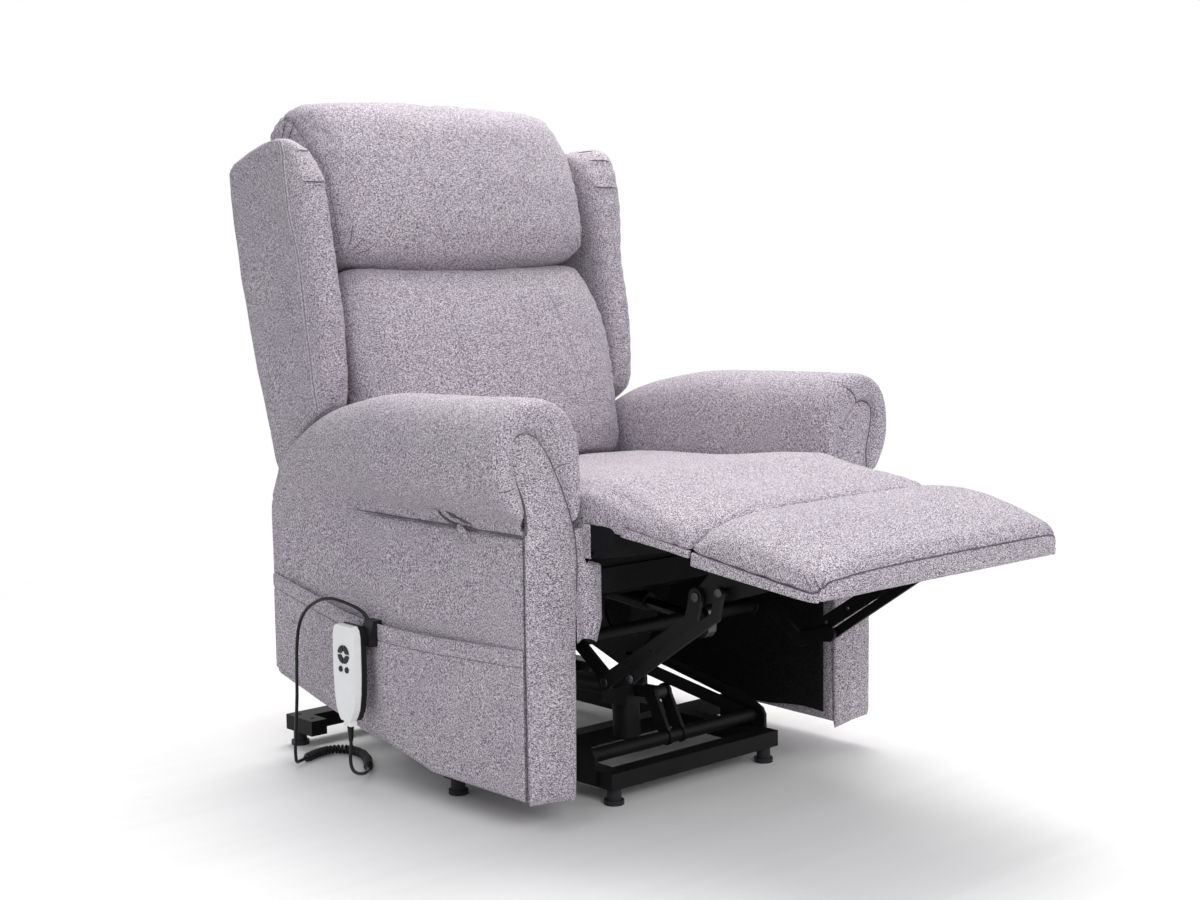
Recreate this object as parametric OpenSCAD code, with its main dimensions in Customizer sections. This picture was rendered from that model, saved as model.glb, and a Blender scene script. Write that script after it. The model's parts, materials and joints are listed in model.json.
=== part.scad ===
// Wing-back lift recliner chair, shown sitting low with its leg rest raised.
// Millimetres, +Z up, floor at Z = 0, the sitter faces -Y, X = 0 is the symmetry plane.
// Lengths along Y are laid out from the front face of the arms and then centred.

/* [Arms] */
// Clear width between the two arm boxes
arm_gap = 554; // [520:2:620]
// Thickness of an arm box
arm_t = 86; // [70:1:100]
// Height of the seam where the arm pad meets the box
arm_seam_z = 426; // [410:1:450]
// Height of the top of the arm pads
arm_top_z = 612; // [580:1:650]
// Depth of an arm box from front to rear
arm_depth = 653; // [640:1:690]
// Height of the front bottom corner of an arm box
arm_floor_gap = 49; // [40:1:60]
// Rise of the bottom edge from the front corner to the rear corner
arm_rear_rise = 84; // [60:1:110]
// Half width of the rolled arm pad
pad_half_w = 75; // [66:1:80]
// Length of the level part of the arm pad, from the front
pad_level = 300; // [240:5:330]
// Thickness of the tongue-shaped front facing
facing_t = 8; // [5:0.5:12]

/* [Seat] */
// Height of the axis that the leg rest folds about
lip_z = 432; // [425:1:445]
// Radius of the rounded seat front about that axis
lip_r = 58; // [50:1:62]
// Rear end of the seat cushion, from the arm fronts
seat_rear = 486; // [460:2:500]
// Height of the top of the seat frame
frame_top_z = 356; // [350:1:362]
// Height of the seat frame rails
rail_h = 28; // [24:1:28]
// Depth of the front and rear seat rails
rail_d = 26; // [20:1:30]
// Thickness of the seat deck
deck_t = 8; // [5:1:12]
// Crown of the seat and leg rest pads
pad_crown = 10; // [4:1:14]
// Clearance between soft parts and their neighbours
soft_gap = 3; // [2:0.5:4]

/* [Leg rest] */
// Length of the calf pad
calf_len = 195; // [180:1:205]
// Length of the foot pad
foot_len = 228; // [200:1:232]
// Gap between the leg rest and each arm box
rest_gap = 20; // [19:1:36]
// Thickness of the leg rest at its front edge
rest_t = 46; // [38:1:52]
// Thickness of the leg rest boards
board_t = 12; // [9:1:15]
// Downward slope of the raised leg rest, degrees
rest_slope = 8.25; // [7.5:0.25:9]

/* [Back] */
// Lean of the back from upright, degrees
back_lean = 17; // [14:0.5:20]
// Length of the back above the seat, along its lean
back_len = 639; // [600:1:660]
// Height of the crease between back cushion and headrest, along the lean
crease_len = 341; // [320:1:360]
// Height of the wings, along the lean
wing_len = 566; // [540:1:580]
// Thickness of a wing
wing_t = 56; // [46:1:62]
// Thickness of the back cushion
back_cushion_t = 122; // [100:1:122]
// Side of the back frame tubes
back_tube = 25; // [20:1:30]

/* [Base] */
// Width of the base across its front bar
base_w = 360; // [340:2:360]
// Width of the base across its outriggers
outrigger_w = 620; // [560:2:660]
// Depth of the base tubes
tube_w = 30; // [25:1:32]
// Height of the base tubes
tube_h = 25; // [20:1:26]
// Height of the feet
foot_h = 25; // [20:1:28]
// Radius of a foot
foot_r = 15; // [10:0.5:18]

/* [Linkage] */
// Thickness of the flat steel links
link_t = 6; // [4:0.5:6]
// Width of the lift arms and lift links
lift_w = 22; // [18:1:24]
// Width of the leg rest links
link_w = 20; // [16:1:20]
// Width of the two long links
long_w = 25; // [20:1:26]
// Radius of the pivot studs
stud_r = 5; // [3:0.5:6]
// Running clearance of a stud in its bore
run_gap = 0.08; // [0.02:0.01:0.1]
// Radial clearance of a pivot hole that is left open
open_gap = 2; // [1.5:0.25:2.5]
// Radius of the round cross tubes
cross_r = 11; // [9:0.5:11]

/* [Handset] */
// Height of the handset without its collar
handset_h = 146; // [130:1:160]
// Width of the handset
handset_w = 60; // [50:1:64]
// Thickness of the white front shell
handset_front_t = 12; // [10:1:14]
// Thickness of the black back shell
handset_back_t = 9; // [7:1:12]
// Outer radius of the ring of curved buttons
ring_r = 14; // [12:0.5:15]
// Travel of a button
button_travel = 1; // [0.5:0.1:1.2]
// Diameter of the handset cord
cord_d = 5.4; // [4:0.1:6]
// Number of curls in the handset cord
curls = 24; // [12:1:30]

/* [Hidden] */
$fn = 48;

// Colours
c_cloth = [0.60, 0.58, 0.63];
c_black = [0.08, 0.08, 0.09];
c_steel = [0.16, 0.16, 0.17];
c_motor = [0.22, 0.22, 0.23];
c_wood = [0.72, 0.56, 0.38];
c_white = [0.92, 0.92, 0.92];

// Places shared by several parts, from the front face of the arms
seat = 0.3;                                // seating gap between pieces that rest on each other
box_in = arm_gap / 2;                      // inner face of an arm box
box_out = box_in + arm_t;                  // outer face of an arm box
pad_x = box_in + arm_t * 0.69;             // centre line of an arm pad
rail_bottom_z = frame_top_z - rail_h;
deck_top_z = frame_top_z + deck_t;
front_rail_y = 8;                          // front face of the front seat rail
lip_y = -10;                               // axis that the calf pad folds about
crease_y = lip_y - calf_len * cos(rest_slope);
crease_z = lip_z - calf_len * sin(rest_slope);
rest_front_y = crease_y - foot_len * cos(rest_slope);
back_y = 450;                              // foot of the back's front face, on the seat
back_z = 465;
hinge_up = -120;                           // recline hinge, along the lean
hinge_in = 136.5;                          // recline hinge, behind the back's front face
tube_front = hinge_in - back_tube / 2;     // front face of the back frame tubes
tube_rear = hinge_in + back_tube / 2;
wood_d = 26;                               // depth of the wooden back rails
panel_front = tube_rear + wood_d;
wing_in = box_in + 3;                      // inner face of a wing
// Rear outline of the back: height along the lean, distance behind the front face
rear_curve = [[-125, 200], [60, 208], [235, 215], [390, 210], [530, 194], [595, 177]];
panel_top = wing_len + 24;

// Centre of the whole chair along Y
back_reach = back_y + lookup(panel_top, rear_curve) * cos(back_lean) + panel_top * sin(back_lean);
mid_y = (back_reach + rest_front_y) / 2;

// Planes of the linkage, outwards from the symmetry plane
rail_out = base_w / 2;                     // outer face of the base rails
plane_gap = 2;                             // side play between links
plate_in = rail_out;                       // base brackets and seat side plates
plate_out = plate_in + link_t;
arm_link_in = plate_in - plane_gap - link_t;
lift_link_in = plate_out + plane_gap;
crank_in = lift_link_in + link_t + 6;      // leg rest cranks and foot brackets
long_in = crank_in + link_t + plane_gap;   // long leg rest links
short_in = long_in + link_t + plane_gap;   // short leg rest links
tube_top_z = foot_h + tube_h;

// Pivots as [y, z]
p_arm_base = [90, tube_top_z + 16];
p_link_base = [140, tube_top_z + 40];
p_arm_seat = p_arm_base + [295, 46];
p_link_seat = p_link_base + [423, 81];
p_hinge = [back_y + hinge_in * cos(back_lean) + hinge_up * sin(back_lean),
           back_z - hinge_in * sin(back_lean) + hinge_up * cos(back_lean)];
p_lip = [lip_y, lip_z];
p_crease = [crease_y, crease_z];
p_crank = [158, 300];
p_knee = p_crank + (p_crease - p_lip) + [47, -74];
p_knee_short = p_knee + [-63, 17];
p_foot_long = p_crease + [31, -58];
p_foot_short = p_crease + [-21, -44];
crank_r = 75;                              // leg rest tube from the crank pivot
crank_a = 234.6;                           // its angle at rest
p_crank_tube = p_crank + crank_r * [cos(crank_a), sin(crank_a)];
p_front_cross = [205, 285];
p_rear_cross = [455, 262];
lever_r = 70;                              // lift lever from its shaft
lever_a = 61;
p_lever = p_arm_base + lever_r * [cos(lever_a), sin(lever_a)];
p_rod_post = [665, tube_top_z + 45];
p_back_lever = p_hinge + [10, -110];

// Actuators
motor_x = 95;                              // recline actuator on -X, leg rest actuator on +X
rod_r = 9;
sleeve_r = 15;
lever_gap = 24;                            // clear width between a pair of lever plates

// Handset, hung on the pocket rim outside the right arm
handset_x = -388;                          // outer face of the back shell's rear wall
handset_y = 382;
handset_top_z = 256;
pocket_t = 2.4;
pocket_bulge = 9;
pocket_rim = [for (p = [[0, 266], [0.389, 257], [0.608, 261], [0.7825, 278], [1, 301]])
    [p[0] * arm_depth, p[1]]];
button_z = handset_top_z - 44;

// ---------- helpers ----------

module placed() translate([0, -mid_y, 0]) children();

module both_sides() {
    children();
    mirror([1, 0, 0]) children();
}

// Sheet lying in the YZ plane, from x to x + t
module sheet_x(x, t) translate([x, 0, 0]) rotate([90, 0, 90]) linear_extrude(t) children();

// Round bar along X
module bar_x(x, len, p, r) translate([x, p[0], p[1]]) rotate([0, 90, 0]) cylinder(h = len, r = r);

// Flat link outline through a row of pivots, a little slimmer between its eyes
module link_2d(pivots, w) {
    for (p = pivots) translate(p) circle(d = w);
    for (i = [1:len(pivots) - 1]) let (d = pivots[i] - pivots[i - 1])
        translate(pivots[i - 1]) rotate(atan2(d[1], d[0])) translate([0, -0.44 * w]) square([norm(d), 0.88 * w]);
}

module hole_2d(p, r) translate(p) circle(r = r);

// Signed power, for rounded outlines
function spow(v, e) = sign(v) * pow(abs(v), e);

// Points of a rounded outline: half sizes a and b, corner exponent e
function round_outline(a, b, e, n) = [for (i = [0:n - 1])
    let (t = 360 * i / n) [a * spow(cos(t), 2 / e), b * spow(sin(t), 2 / e)]];

// Closed skin over a row of rings that all have as many points
module skin(rings) {
    n = len(rings[0]);
    m = len(rings);
    sides = [for (i = [0:m - 2], j = [0:n - 1])
        let (a = i * n + j, b = i * n + (j + 1) % n) each [[a, b, a + n], [b, b + n, a + n]]];
    strips = [for (i = [0:n / 2 - 2]) each [[i, i + 1, n - 2 - i], [i, n - 2 - i, n - 1 - i]]];
    first = [for (f = strips) [f[2], f[1], f[0]]];
    last = [for (f = strips) [for (k = f) k + (m - 1) * n]];
    polyhedron([for (r = rings) each r], [each sides, each first, each last]);
}

// Ring of a pad that runs along Y: crowned on top, flat below, rounded at the corners
function pad_ring(y, half_w, z0, z1, crown, e, n = 28) = [for (p = round_outline(half_w, 1, e, n))
    let (s = p[0] / half_w, rise = crown * (1 - s * s))
    [p[0], y, (z0 + z1) / 2 + (p[1] > 0 ? p[1] * ((z1 - z0) / 2 + rise) : max(-1, p[1] * 1.1) * (z1 - z0) / 2)]];

// Ring of an upright cushion: crowned at the front, drooping at the sides
function back_ring(z, half_w, y0, y1, crown, droop, e = 4.5, n = 28) =
    [for (p = round_outline(half_w, 1, e, n))
    let (s = p[0] / half_w, rise = crown * (1 - s * s))
    [-p[0], (y0 + y1) / 2 + (p[1] < 0 ? p[1] * ((y1 - y0) / 2 + rise) : min(1, p[1] * 1.1) * (y1 - y0) / 2),
     z - droop * s * s]];

// Tube of circular rings along a path of points
function unit(v) = v / norm(v);
function path_dir(path, i) =
    unit(path[min(i + 1, len(path) - 1)] - path[max(i - 1, 0)]);
function tube_ring(path, i, r, sides, across) =
    let (d = path_dir(path, i), u = unit(cross(d, across)), v = cross(d, u))
    [for (k = [0:sides - 1]) let (t = 360 * k / sides) path[i] + r * (cos(t) * u + sin(t) * v)];
module tube(path, r, sides, across) skin([for (i = [0:len(path) - 1]) tube_ring(path, i, r, sides, across)]);

// ---------- base ----------

base_rear_y = 650;
module base_side_rails() color(c_steel) placed() both_sides()
    translate([rail_out - tube_w, 36 + tube_w, foot_h]) cube([tube_w, base_rear_y - 36 - tube_w, tube_h]);

base_mid_y = 240;
module base_cross_bars() color(c_steel) placed() {
    translate([-rail_out, 36, foot_h]) cube([base_w, tube_w, tube_h]);
    translate([-rail_out + tube_w, base_mid_y, foot_h]) cube([base_w - 2 * tube_w, tube_w, tube_h]);
    both_sides() translate([rail_out, base_mid_y, foot_h])
        cube([(outrigger_w - base_w) / 2, tube_w, tube_h]);
}

rear_bar_d = 36;
module base_rear_bar() color(c_steel) placed() difference() {
    union() {
        translate([-outrigger_w / 2 - 12, base_rear_y, foot_h]) cube([outrigger_w + 24, rear_bar_d, tube_h]);
        both_sides() translate([outrigger_w / 2 + 12 - tube_w, base_rear_y - 40, foot_h])
            cube([tube_w, 41, tube_h]);
    }
    both_sides() for (y = [base_rear_y - 20, base_rear_y + rear_bar_d / 2])
        translate([outrigger_w / 2 - 3, y, tube_top_z - 8]) cylinder(h = 9, r = 3.5);
}

module base_foot(x, y) translate([x, y, 0]) {
    cylinder(h = 7, r = foot_r);
    cylinder(h = foot_h, r = foot_r - 4);
}
module base_feet() color(c_black) placed() both_sides() {
    base_foot(rail_out - 18, 36 + tube_w / 2);
    base_foot(outrigger_w / 2 - 16, base_mid_y + tube_w / 2);
    base_foot(outrigger_w / 2 - 3, base_rear_y + rear_bar_d / 2);
}

// Brackets of the lift arms and links, and the post of the lift rod
module base_brackets() color(c_steel) placed() {
    both_sides() {
        sheet_x(plate_in, link_t) difference() {
            polygon([[66, foot_h + 3], [164, foot_h + 3], [164, tube_top_z + 10], [p_link_base[0] + 14, p_link_base[1] + 14],
                [p_link_base[0] - 14, p_link_base[1] + 14], [72, p_arm_base[1] + 14], [66, p_arm_base[1] + 4]]);
        }
        bar_x(arm_link_in + seat, link_t + plane_gap - seat, p_arm_base, stud_r);
        bar_x(plate_out, link_t + plane_gap + 1, p_link_base, stud_r);
    }
    both_sides() sheet_x(lever_gap / 2, link_t)
        polygon([[base_rear_y, tube_top_z], [base_rear_y + rear_bar_d, tube_top_z],
            [p_rod_post[0] + 10, p_rod_post[1] + 10], [p_rod_post[0] - 10, p_rod_post[1] + 10]]);
    bar_x(-lever_gap / 2 - 2, lever_gap + 4, p_rod_post, stud_r);
}

// ---------- lift ----------

module lift_arms() color(c_steel) placed() both_sides() sheet_x(arm_link_in, link_t) difference() {
    link_2d([p_arm_base, p_arm_seat], lift_w);
    hole_2d(p_arm_base, stud_r + run_gap);
    hole_2d(p_arm_seat, stud_r + run_gap);
}

// Cross shaft that joins the lift arms, with the lever that the motor pushes
module lift_shaft() color(c_steel) placed() {
    bar_x(-arm_link_in, 2 * arm_link_in, p_arm_base, cross_r);
    both_sides() sheet_x(lever_gap / 2, link_t) link_2d([p_arm_base, p_lever], lift_w + 4);
    bar_x(-lever_gap / 2 - 1, lever_gap + 2, p_lever, stud_r);
}

module lift_links() color(c_steel) placed() both_sides() sheet_x(lift_link_in, link_t) difference() {
    link_2d([p_link_base, p_link_seat], lift_w);
    hole_2d(p_link_base, stud_r + run_gap);
    hole_2d(p_link_seat, stud_r + open_gap);
}

// Actuator body: its eye at the origin, its sleeve along +Y, its motor hanging below
module actuator_body(eye_r, gear_y, sleeve_y, bore_y, motor_drop, motor_y) {
    difference() {
        union() {
            rotate([0, 90, 0]) cylinder(h = lever_gap - 4, r = eye_r + 6, center = true);
            translate([-8, 0, -9]) cube([16, gear_y + 2, 18]);
            translate([-24, gear_y, -23]) cube([48, 56, 46]);
            translate([0, gear_y + 55, 0]) rotate([-90, 0, 0]) cylinder(h = sleeve_y - gear_y - 55, r = sleeve_r);
        }
        rotate([0, 90, 0]) cylinder(h = lever_gap, r = eye_r, center = true);
        translate([0, bore_y, 0]) rotate([-90, 0, 0]) cylinder(h = sleeve_y, r = rod_r + run_gap);
    }
    translate([0, motor_y, -22.5 - motor_drop]) {
        cylinder(h = motor_drop, r = 22);
        translate([0, 0, -4]) cylinder(h = 4, r = 18);
    }
}

// Actuator rod along +Y from its inner end to a slotted end plate at end_y
module actuator_rod(inner_y, end_y, slot_r, slot_half) {
    translate([0, inner_y, 0]) rotate([-90, 0, 0]) cylinder(h = end_y - inner_y - slot_r - 1, r = rod_r);
    translate([-9, end_y, 0]) rotate([90, 0, 90]) linear_extrude(18) difference() {
        union() {
            translate([-slot_r - 6, -slot_half - 6]) square([2 * slot_r + 12, 2 * slot_half + 12]);
            for (s = [-1, 1]) translate([0, s * slot_half]) circle(r = slot_r + 6);
        }
        translate([-slot_r, -slot_half]) square([2 * slot_r, 2 * slot_half]);
        for (s = [-1, 1]) translate([0, s * slot_half]) circle(r = slot_r);
    }
}

lift_line = p_rod_post - p_lever;
lift_a = atan2(lift_line[1], lift_line[0]);
module at_lever() translate([0, p_lever[0], p_lever[1]]) rotate([lift_a, 0, 0]) children();
module lift_motor() color(c_motor) placed() at_lever()
    actuator_body(stud_r + run_gap, 48, norm(lift_line) - 190, 110, 54, 76);
module lift_rod() color(c_white * 0.8) placed() at_lever()
    actuator_rod(150, norm(lift_line), stud_r + open_gap, 5);

// ---------- seat frame ----------

module side_plates() color(c_steel) placed() both_sides() {
    sheet_x(plate_in, link_t) difference() {
        polygon([[132, rail_bottom_z], [132, p_crank[1] - 4], [150, p_crank[1] - 16], [176, p_crank[1] - 16],
            p_front_cross + [-15, -17], p_front_cross + [12, -17], [246, p_crank[1] - 12], [276, 256], [p_arm_seat[0] - 30, p_arm_seat[1] + 14], [p_arm_seat[0] - 14, p_arm_seat[1] - 16],
            [p_arm_seat[0] + 16, p_arm_seat[1] - 16], [p_link_seat[0] + 4, p_link_seat[1] - 18],
            p_link_seat + [22, 0], p_hinge + [13, -44], [p_hinge[0] + 13, rail_bottom_z]]);
        translate([410, 190]) circle(r = 34);
        translate([500, 230]) circle(r = 20);
    }
    bar_x(arm_link_in - 1, link_t + plane_gap + 1, p_arm_seat, stud_r);
    bar_x(plate_out, link_t + plane_gap + 1, p_link_seat, stud_r);
    bar_x(plate_out, crank_in + link_t - plate_out + 1, p_crank, stud_r);
    bar_x(plate_out, back_tube + 6, p_hinge, stud_r + 2);
}

rear_rail_y = seat_rear - 8;
module seat_cross_rails() color(c_wood) placed() for (y = [front_rail_y, rear_rail_y])
    translate([-box_in, y, rail_bottom_z]) cube([arm_gap, rail_d, rail_h]);

module seat_side_rails() color(c_wood) placed() both_sides()
    translate([plate_in - 8, front_rail_y + rail_d, rail_bottom_z])
        cube([22, rear_rail_y - front_rail_y - rail_d, rail_h]);

module cross_tubes() color(c_steel) placed() for (p = [p_front_cross, p_rear_cross])
    bar_x(-plate_in, 2 * plate_in, p, cross_r);

module seat_deck() color(c_black) placed() difference() {
    translate([-box_in + 20, front_rail_y, frame_top_z]) cube([arm_gap - 40, rear_rail_y + rail_d - front_rail_y, deck_t]);
    for (x = [-180:60:180], y = [90:80:410])
        translate([x, y, frame_top_z - 1]) cylinder(h = deck_t + 2, r = 14, $fn = 24);
}

// ---------- arms ----------

// Height of the arm pad's top along the arm
pad_end = arm_depth + 3;
function pad_top(y) = y <= pad_level ? arm_top_z
    : arm_seam_z + (arm_top_z - arm_seam_z) * pow(1 - pow((y - pad_level) / (pad_end - pad_level), 1.6), 0.6);

arm_rear_z = arm_floor_gap + arm_rear_rise;
module arm_side_2d() polygon([
    [facing_t, arm_floor_gap + 6], [facing_t + 6, arm_floor_gap],
    [arm_depth * 0.34, arm_floor_gap + 3],
    [arm_depth * 0.62, arm_floor_gap + arm_rear_rise * 0.35],
    [arm_depth * 0.71, arm_floor_gap + arm_rear_rise * 0.49],
    [arm_depth - 14, arm_rear_z - 4], [arm_depth - 4, arm_rear_z + 2], [arm_depth, arm_rear_z + 12],
    [arm_depth + 3, arm_rear_z + 168], [arm_depth, arm_seam_z - 30], [arm_depth - 8, arm_seam_z - seat],
    [facing_t, arm_seam_z - seat]]);

module arm_box() sheet_x(box_in, arm_t) arm_side_2d();
module arm_box_left() color(c_cloth) placed() arm_box();
module arm_box_right() color(c_cloth) placed() mirror([1, 0, 0]) arm_box();

// Rolled pad: full and round at the front, narrowing and falling to the rear
pad_fall = [0.112, 0.337, 0.534, 0.702, 0.843, 0.933, 0.972];
pad_stations = [for (d = [0.3, 6, 18, 52]) facing_t + d, pad_level / 2, pad_level - 50,
    for (t = pad_fall) pad_level + t * (pad_end - pad_level)];
function pad_scale(i) = i == 0 ? 0.88 : i == 1 ? 0.95 : 1;
function pad_fallen(y) = max(0, y - pad_level) / (pad_end - pad_level);
function pad_mid_x(y) = pad_x + (box_in + arm_t / 2 - pad_x) * pad_fallen(y);
function pad_narrow(y) = 1 - 0.38 * pad_fallen(y);
function arm_pad_ring(i) =
    let (y = pad_stations[i], top = pad_top(y), h = (top - arm_seam_z) / 2,
         a = pad_half_w * pad_scale(i) * pad_narrow(y))
    [for (p = round_outline(a, h * pad_scale(i), 2.5, 28)) [pad_mid_x(y) - p[0], y, arm_seam_z + h + p[1]]];
module arm_pad() skin([for (i = [0:len(pad_stations) - 1]) arm_pad_ring(i)]);
module arm_pad_left() color(c_cloth) placed() arm_pad();
module arm_pad_right() color(c_cloth) placed() mirror([1, 0, 0]) arm_pad();

// Tongue-shaped facing on the front of an arm box and pad
module arm_facing() translate([0, facing_t, 0]) rotate([90, 0, 0]) linear_extrude(facing_t) polygon([
    [box_in + 3, arm_floor_gap], [box_in - 2, arm_seam_z - 14], [box_in + 6, arm_seam_z + 18],
    [box_in + 22, arm_top_z - 122], [box_in + 44, arm_top_z - 86], [box_in + 60, arm_top_z - 57],
    [box_in + 70, arm_top_z - 49], [box_in + 86, arm_top_z - 46], [box_in + 101, arm_top_z - 49],
    [box_in + 109, arm_top_z - 60], [box_in + 110, arm_top_z - 84], [box_in + 102, arm_top_z - 116],
    [box_in + 90, arm_top_z - 142], [box_out, arm_seam_z + 30], [box_out, arm_floor_gap]]);
module arm_facings() color(c_cloth) placed() both_sides() arm_facing();

// Narrow cloth gussets that hang inside the front of each arm, wider below the seat
gusset_w = [[268, 40], [335, 32], [360, 16], [430, 16]];
gusset_folds = [[0, 0], [0.25, 1], [0.5, 0], [0.75, -1], [1, 0]];
function gusset_point(p, y, z, depth) = [box_in - 2 - seat - lookup(z, gusset_w) * p[0], y + depth * p[1], z];
module gusset() skin([for (i = [0:8]) let (z = 268 + 20 * i, depth = 3 - 0.2 * i)
    [for (p = gusset_folds) gusset_point(p, 2, z, depth),
     for (k = [4:-1:0]) gusset_point(gusset_folds[k], 4.4, z, depth)]]);
module gusset_flaps() color(c_cloth) placed() both_sides() gusset();

// Black cloth on the inner faces of the arms
lining_t = 1.5;
module arm_linings() color(c_black) placed() both_sides() difference() {
    sheet_x(box_in - lining_t - seat, lining_t) polygon([
        [20, arm_floor_gap + 14], [arm_depth * 0.34, arm_floor_gap + 14],
        [arm_depth * 0.71, arm_floor_gap + arm_rear_rise * 0.49 + 14], [arm_depth - 20, arm_rear_z + 10],
        [arm_depth - 20, arm_seam_z - 14], [20, arm_seam_z - 14]]);
    for (y = [front_rail_y, rear_rail_y])
        translate([box_in - 10, y - 1, rail_bottom_z - 1]) cube([20, rail_d + 2, rail_h + 2]);
}

// Low cloth panel that closes the rear between the arms
module rear_valance() color(c_cloth) placed()
    translate([-box_in + seat, arm_depth - 15, arm_rear_z]) cube([arm_gap - 2 * seat, 12, 132]);

// Storage pocket sewn on the outside of the right arm: it bulges towards its open rim
pocket_cols = 12;
pocket_rows = 5;
function pocket_edge(y) = arm_floor_gap + 5 + max(0, (arm_rear_rise + 10) * (y - arm_depth * 0.34) / (arm_depth * 0.66));
function pocket_x(y, t) = box_out + seat + pocket_bulge * sin(180 * (y - 12) / (arm_depth - 24)) * sin(90 * t);
function pocket_ring(j) = let (y = 12 + (arm_depth - 24) * j / pocket_cols,
        z0 = pocket_edge(y), z1 = lookup(y, pocket_rim))
    [for (i = [0:pocket_rows]) let (t = i / pocket_rows) [pocket_x(y, t), y, z0 + (z1 - z0) * t],
     for (i = [pocket_rows:-1:0]) let (t = i / pocket_rows) [pocket_x(y, t) + pocket_t, y, z0 + (z1 - z0) * t]];
module side_pocket() color(c_cloth) placed() mirror([1, 0, 0])
    skin([for (j = [0:pocket_cols]) pocket_ring(j)]);

// ---------- seat cushion ----------

// Top edge of the seat at the sides: highest just behind the rounded front
seat_top = [[lip_y, lip_z + lip_r - pad_crown - 2], [60, 476], [200, 464], [380, 456], [440, 450], [seat_rear, 438]];
rest_half = box_in - rest_gap;
seat_half = rest_half - 1;
seat_bottom = deck_top_z + seat;
function lip_ring(a) = let (z = lip_z + (lip_r - pad_crown) * sin(a), y = lip_y - lip_r * cos(a))
    pad_ring(y, seat_half, lip_z + 1, z, pad_crown * sin(a), 5);
module seat_cushion() color(c_cloth) placed() {
    skin([
        each [for (a = [8, 22, 36, 52, 70]) lip_ring(a)],
        pad_ring(lip_y - 1, seat_half, lip_z + 1, lookup(lip_y, seat_top), pad_crown, 5),
        pad_ring(lip_y + 2, seat_half, seat_bottom, lookup(lip_y, seat_top), pad_crown, 7),
        each [for (y = [60, 130, 200, 290, 380, 440])
            pad_ring(y, seat_half - 2 * sin(180 * y / seat_rear), seat_bottom, lookup(y, seat_top), pad_crown, 5)],
        pad_ring(seat_rear - 8, seat_half - 4, seat_bottom, lookup(seat_rear - 8, seat_top), pad_crown / 2, 4),
        pad_ring(seat_rear, seat_half - 16, seat_bottom + 10, lookup(seat_rear, seat_top) - 12, 2, 4)
    ]);
}

// ---------- leg rest ----------

// Frame of the raised leg rest: origin on the fold axis, -Y along its underside
module on_rest() translate([0, lip_y, lip_z]) rotate([rest_slope, 0, 0]) children();
lip_clear = 1;
rest_top = [[0, lip_r - pad_crown], [90, 46], [calf_len - 14, 42], [calf_len, 35], [calf_len + 14, 41],
    [calf_len + foot_len - 24, 44]];
function rest_ring(s, trim, crown) =
    pad_ring(-s, rest_half - trim, board_t + seat, lookup(s, rest_top), crown, 5);
// The calf pad starts on the seat's rounded front and is hollowed to turn about it
module calf_pad() color(c_cloth) placed() on_rest() difference() {
    skin([
        rest_ring(26, 0, pad_crown - 1),
        each [for (s = [60, 100, 140, calf_len - 14]) rest_ring(s, 0, pad_crown)],
        rest_ring(calf_len - seat / 2, 4, pad_crown / 2)
    ]);
    translate([-rest_half - 10, 0, 0]) rotate([0, 90, 0]) cylinder(h = 2 * rest_half + 20, r = lip_r + lip_clear, $fn = 96);
}
module rest_board(s0, s1) translate([-rest_half + 8, -s1, 0]) cube([2 * rest_half - 16, s1 - s0, board_t]);
module calf_board() color(c_wood) placed() on_rest() rest_board(lip_r + lip_clear + 8, calf_len - seat / 2);
module foot_pad() color(c_cloth) placed() on_rest() skin([
    rest_ring(calf_len + seat / 2, 4, pad_crown / 2),
    each [for (s = [14, 70, 130, foot_len - 24]) rest_ring(calf_len + s, 0, pad_crown)],
    pad_ring(-calf_len - foot_len + 3, rest_half - 2, 4, rest_t - 3, pad_crown / 2, 5),
    pad_ring(-calf_len - foot_len, rest_half - 6, 6, rest_t - 6, 2, 5)
]);
module foot_board() color(c_wood) placed() on_rest() rest_board(calf_len + seat / 2, calf_len + foot_len - 30);

long_stud = link_t + plane_gap + 1;
short_stud = 2 * (link_t + plane_gap) + 1;

// Steel brackets under the foot board, with two pivots and three screw holes
function to_rest(p) = let (d = p - p_lip)
    [d[0] * cos(rest_slope) + d[1] * sin(rest_slope), -d[0] * sin(rest_slope) + d[1] * cos(rest_slope)];
module foot_brackets() color(c_steel) placed() on_rest() both_sides() {
    a = to_rest(p_foot_long);
    b = to_rest(p_foot_short);
    sheet_x(crank_in, link_t) difference() {
        polygon([[-calf_len - 4, -0.1], [-calf_len - 4, -10], a + [12, 0], a + [6, -11], a + [-8, -10],
            b + [-10, -10], [-calf_len - 110, -16], [-calf_len - 118, -0.1]]);
        for (s = [60, 80, 100]) hole_2d([-calf_len - s, -9], 2.5);
    }
    translate([crank_in - 14, -calf_len - 118, -3]) cube([14, 114, 3]);
    bar_x(crank_in + link_t, long_stud, a, stud_r);
    bar_x(crank_in + link_t, short_stud, b, stud_r);
}

// Cranks: flat plates with the knee pivots at one end, hung from the side plates
module crank_links() color(c_steel) placed() both_sides() {
    sheet_x(crank_in, link_t) difference() {
        union() {
            link_2d([p_crank, p_knee, p_knee_short], link_w + 4);
            link_2d([p_crank, p_crank_tube], 2 * cross_r + 6);
        }
        hole_2d(p_crank, stud_r + run_gap);
    }
    bar_x(crank_in + link_t, long_stud, p_knee, stud_r);
    bar_x(crank_in + link_t, short_stud, p_knee_short, stud_r);
}
module crank_tube() color(c_steel) placed() bar_x(-crank_in, 2 * crank_in, p_crank_tube, cross_r);

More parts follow.
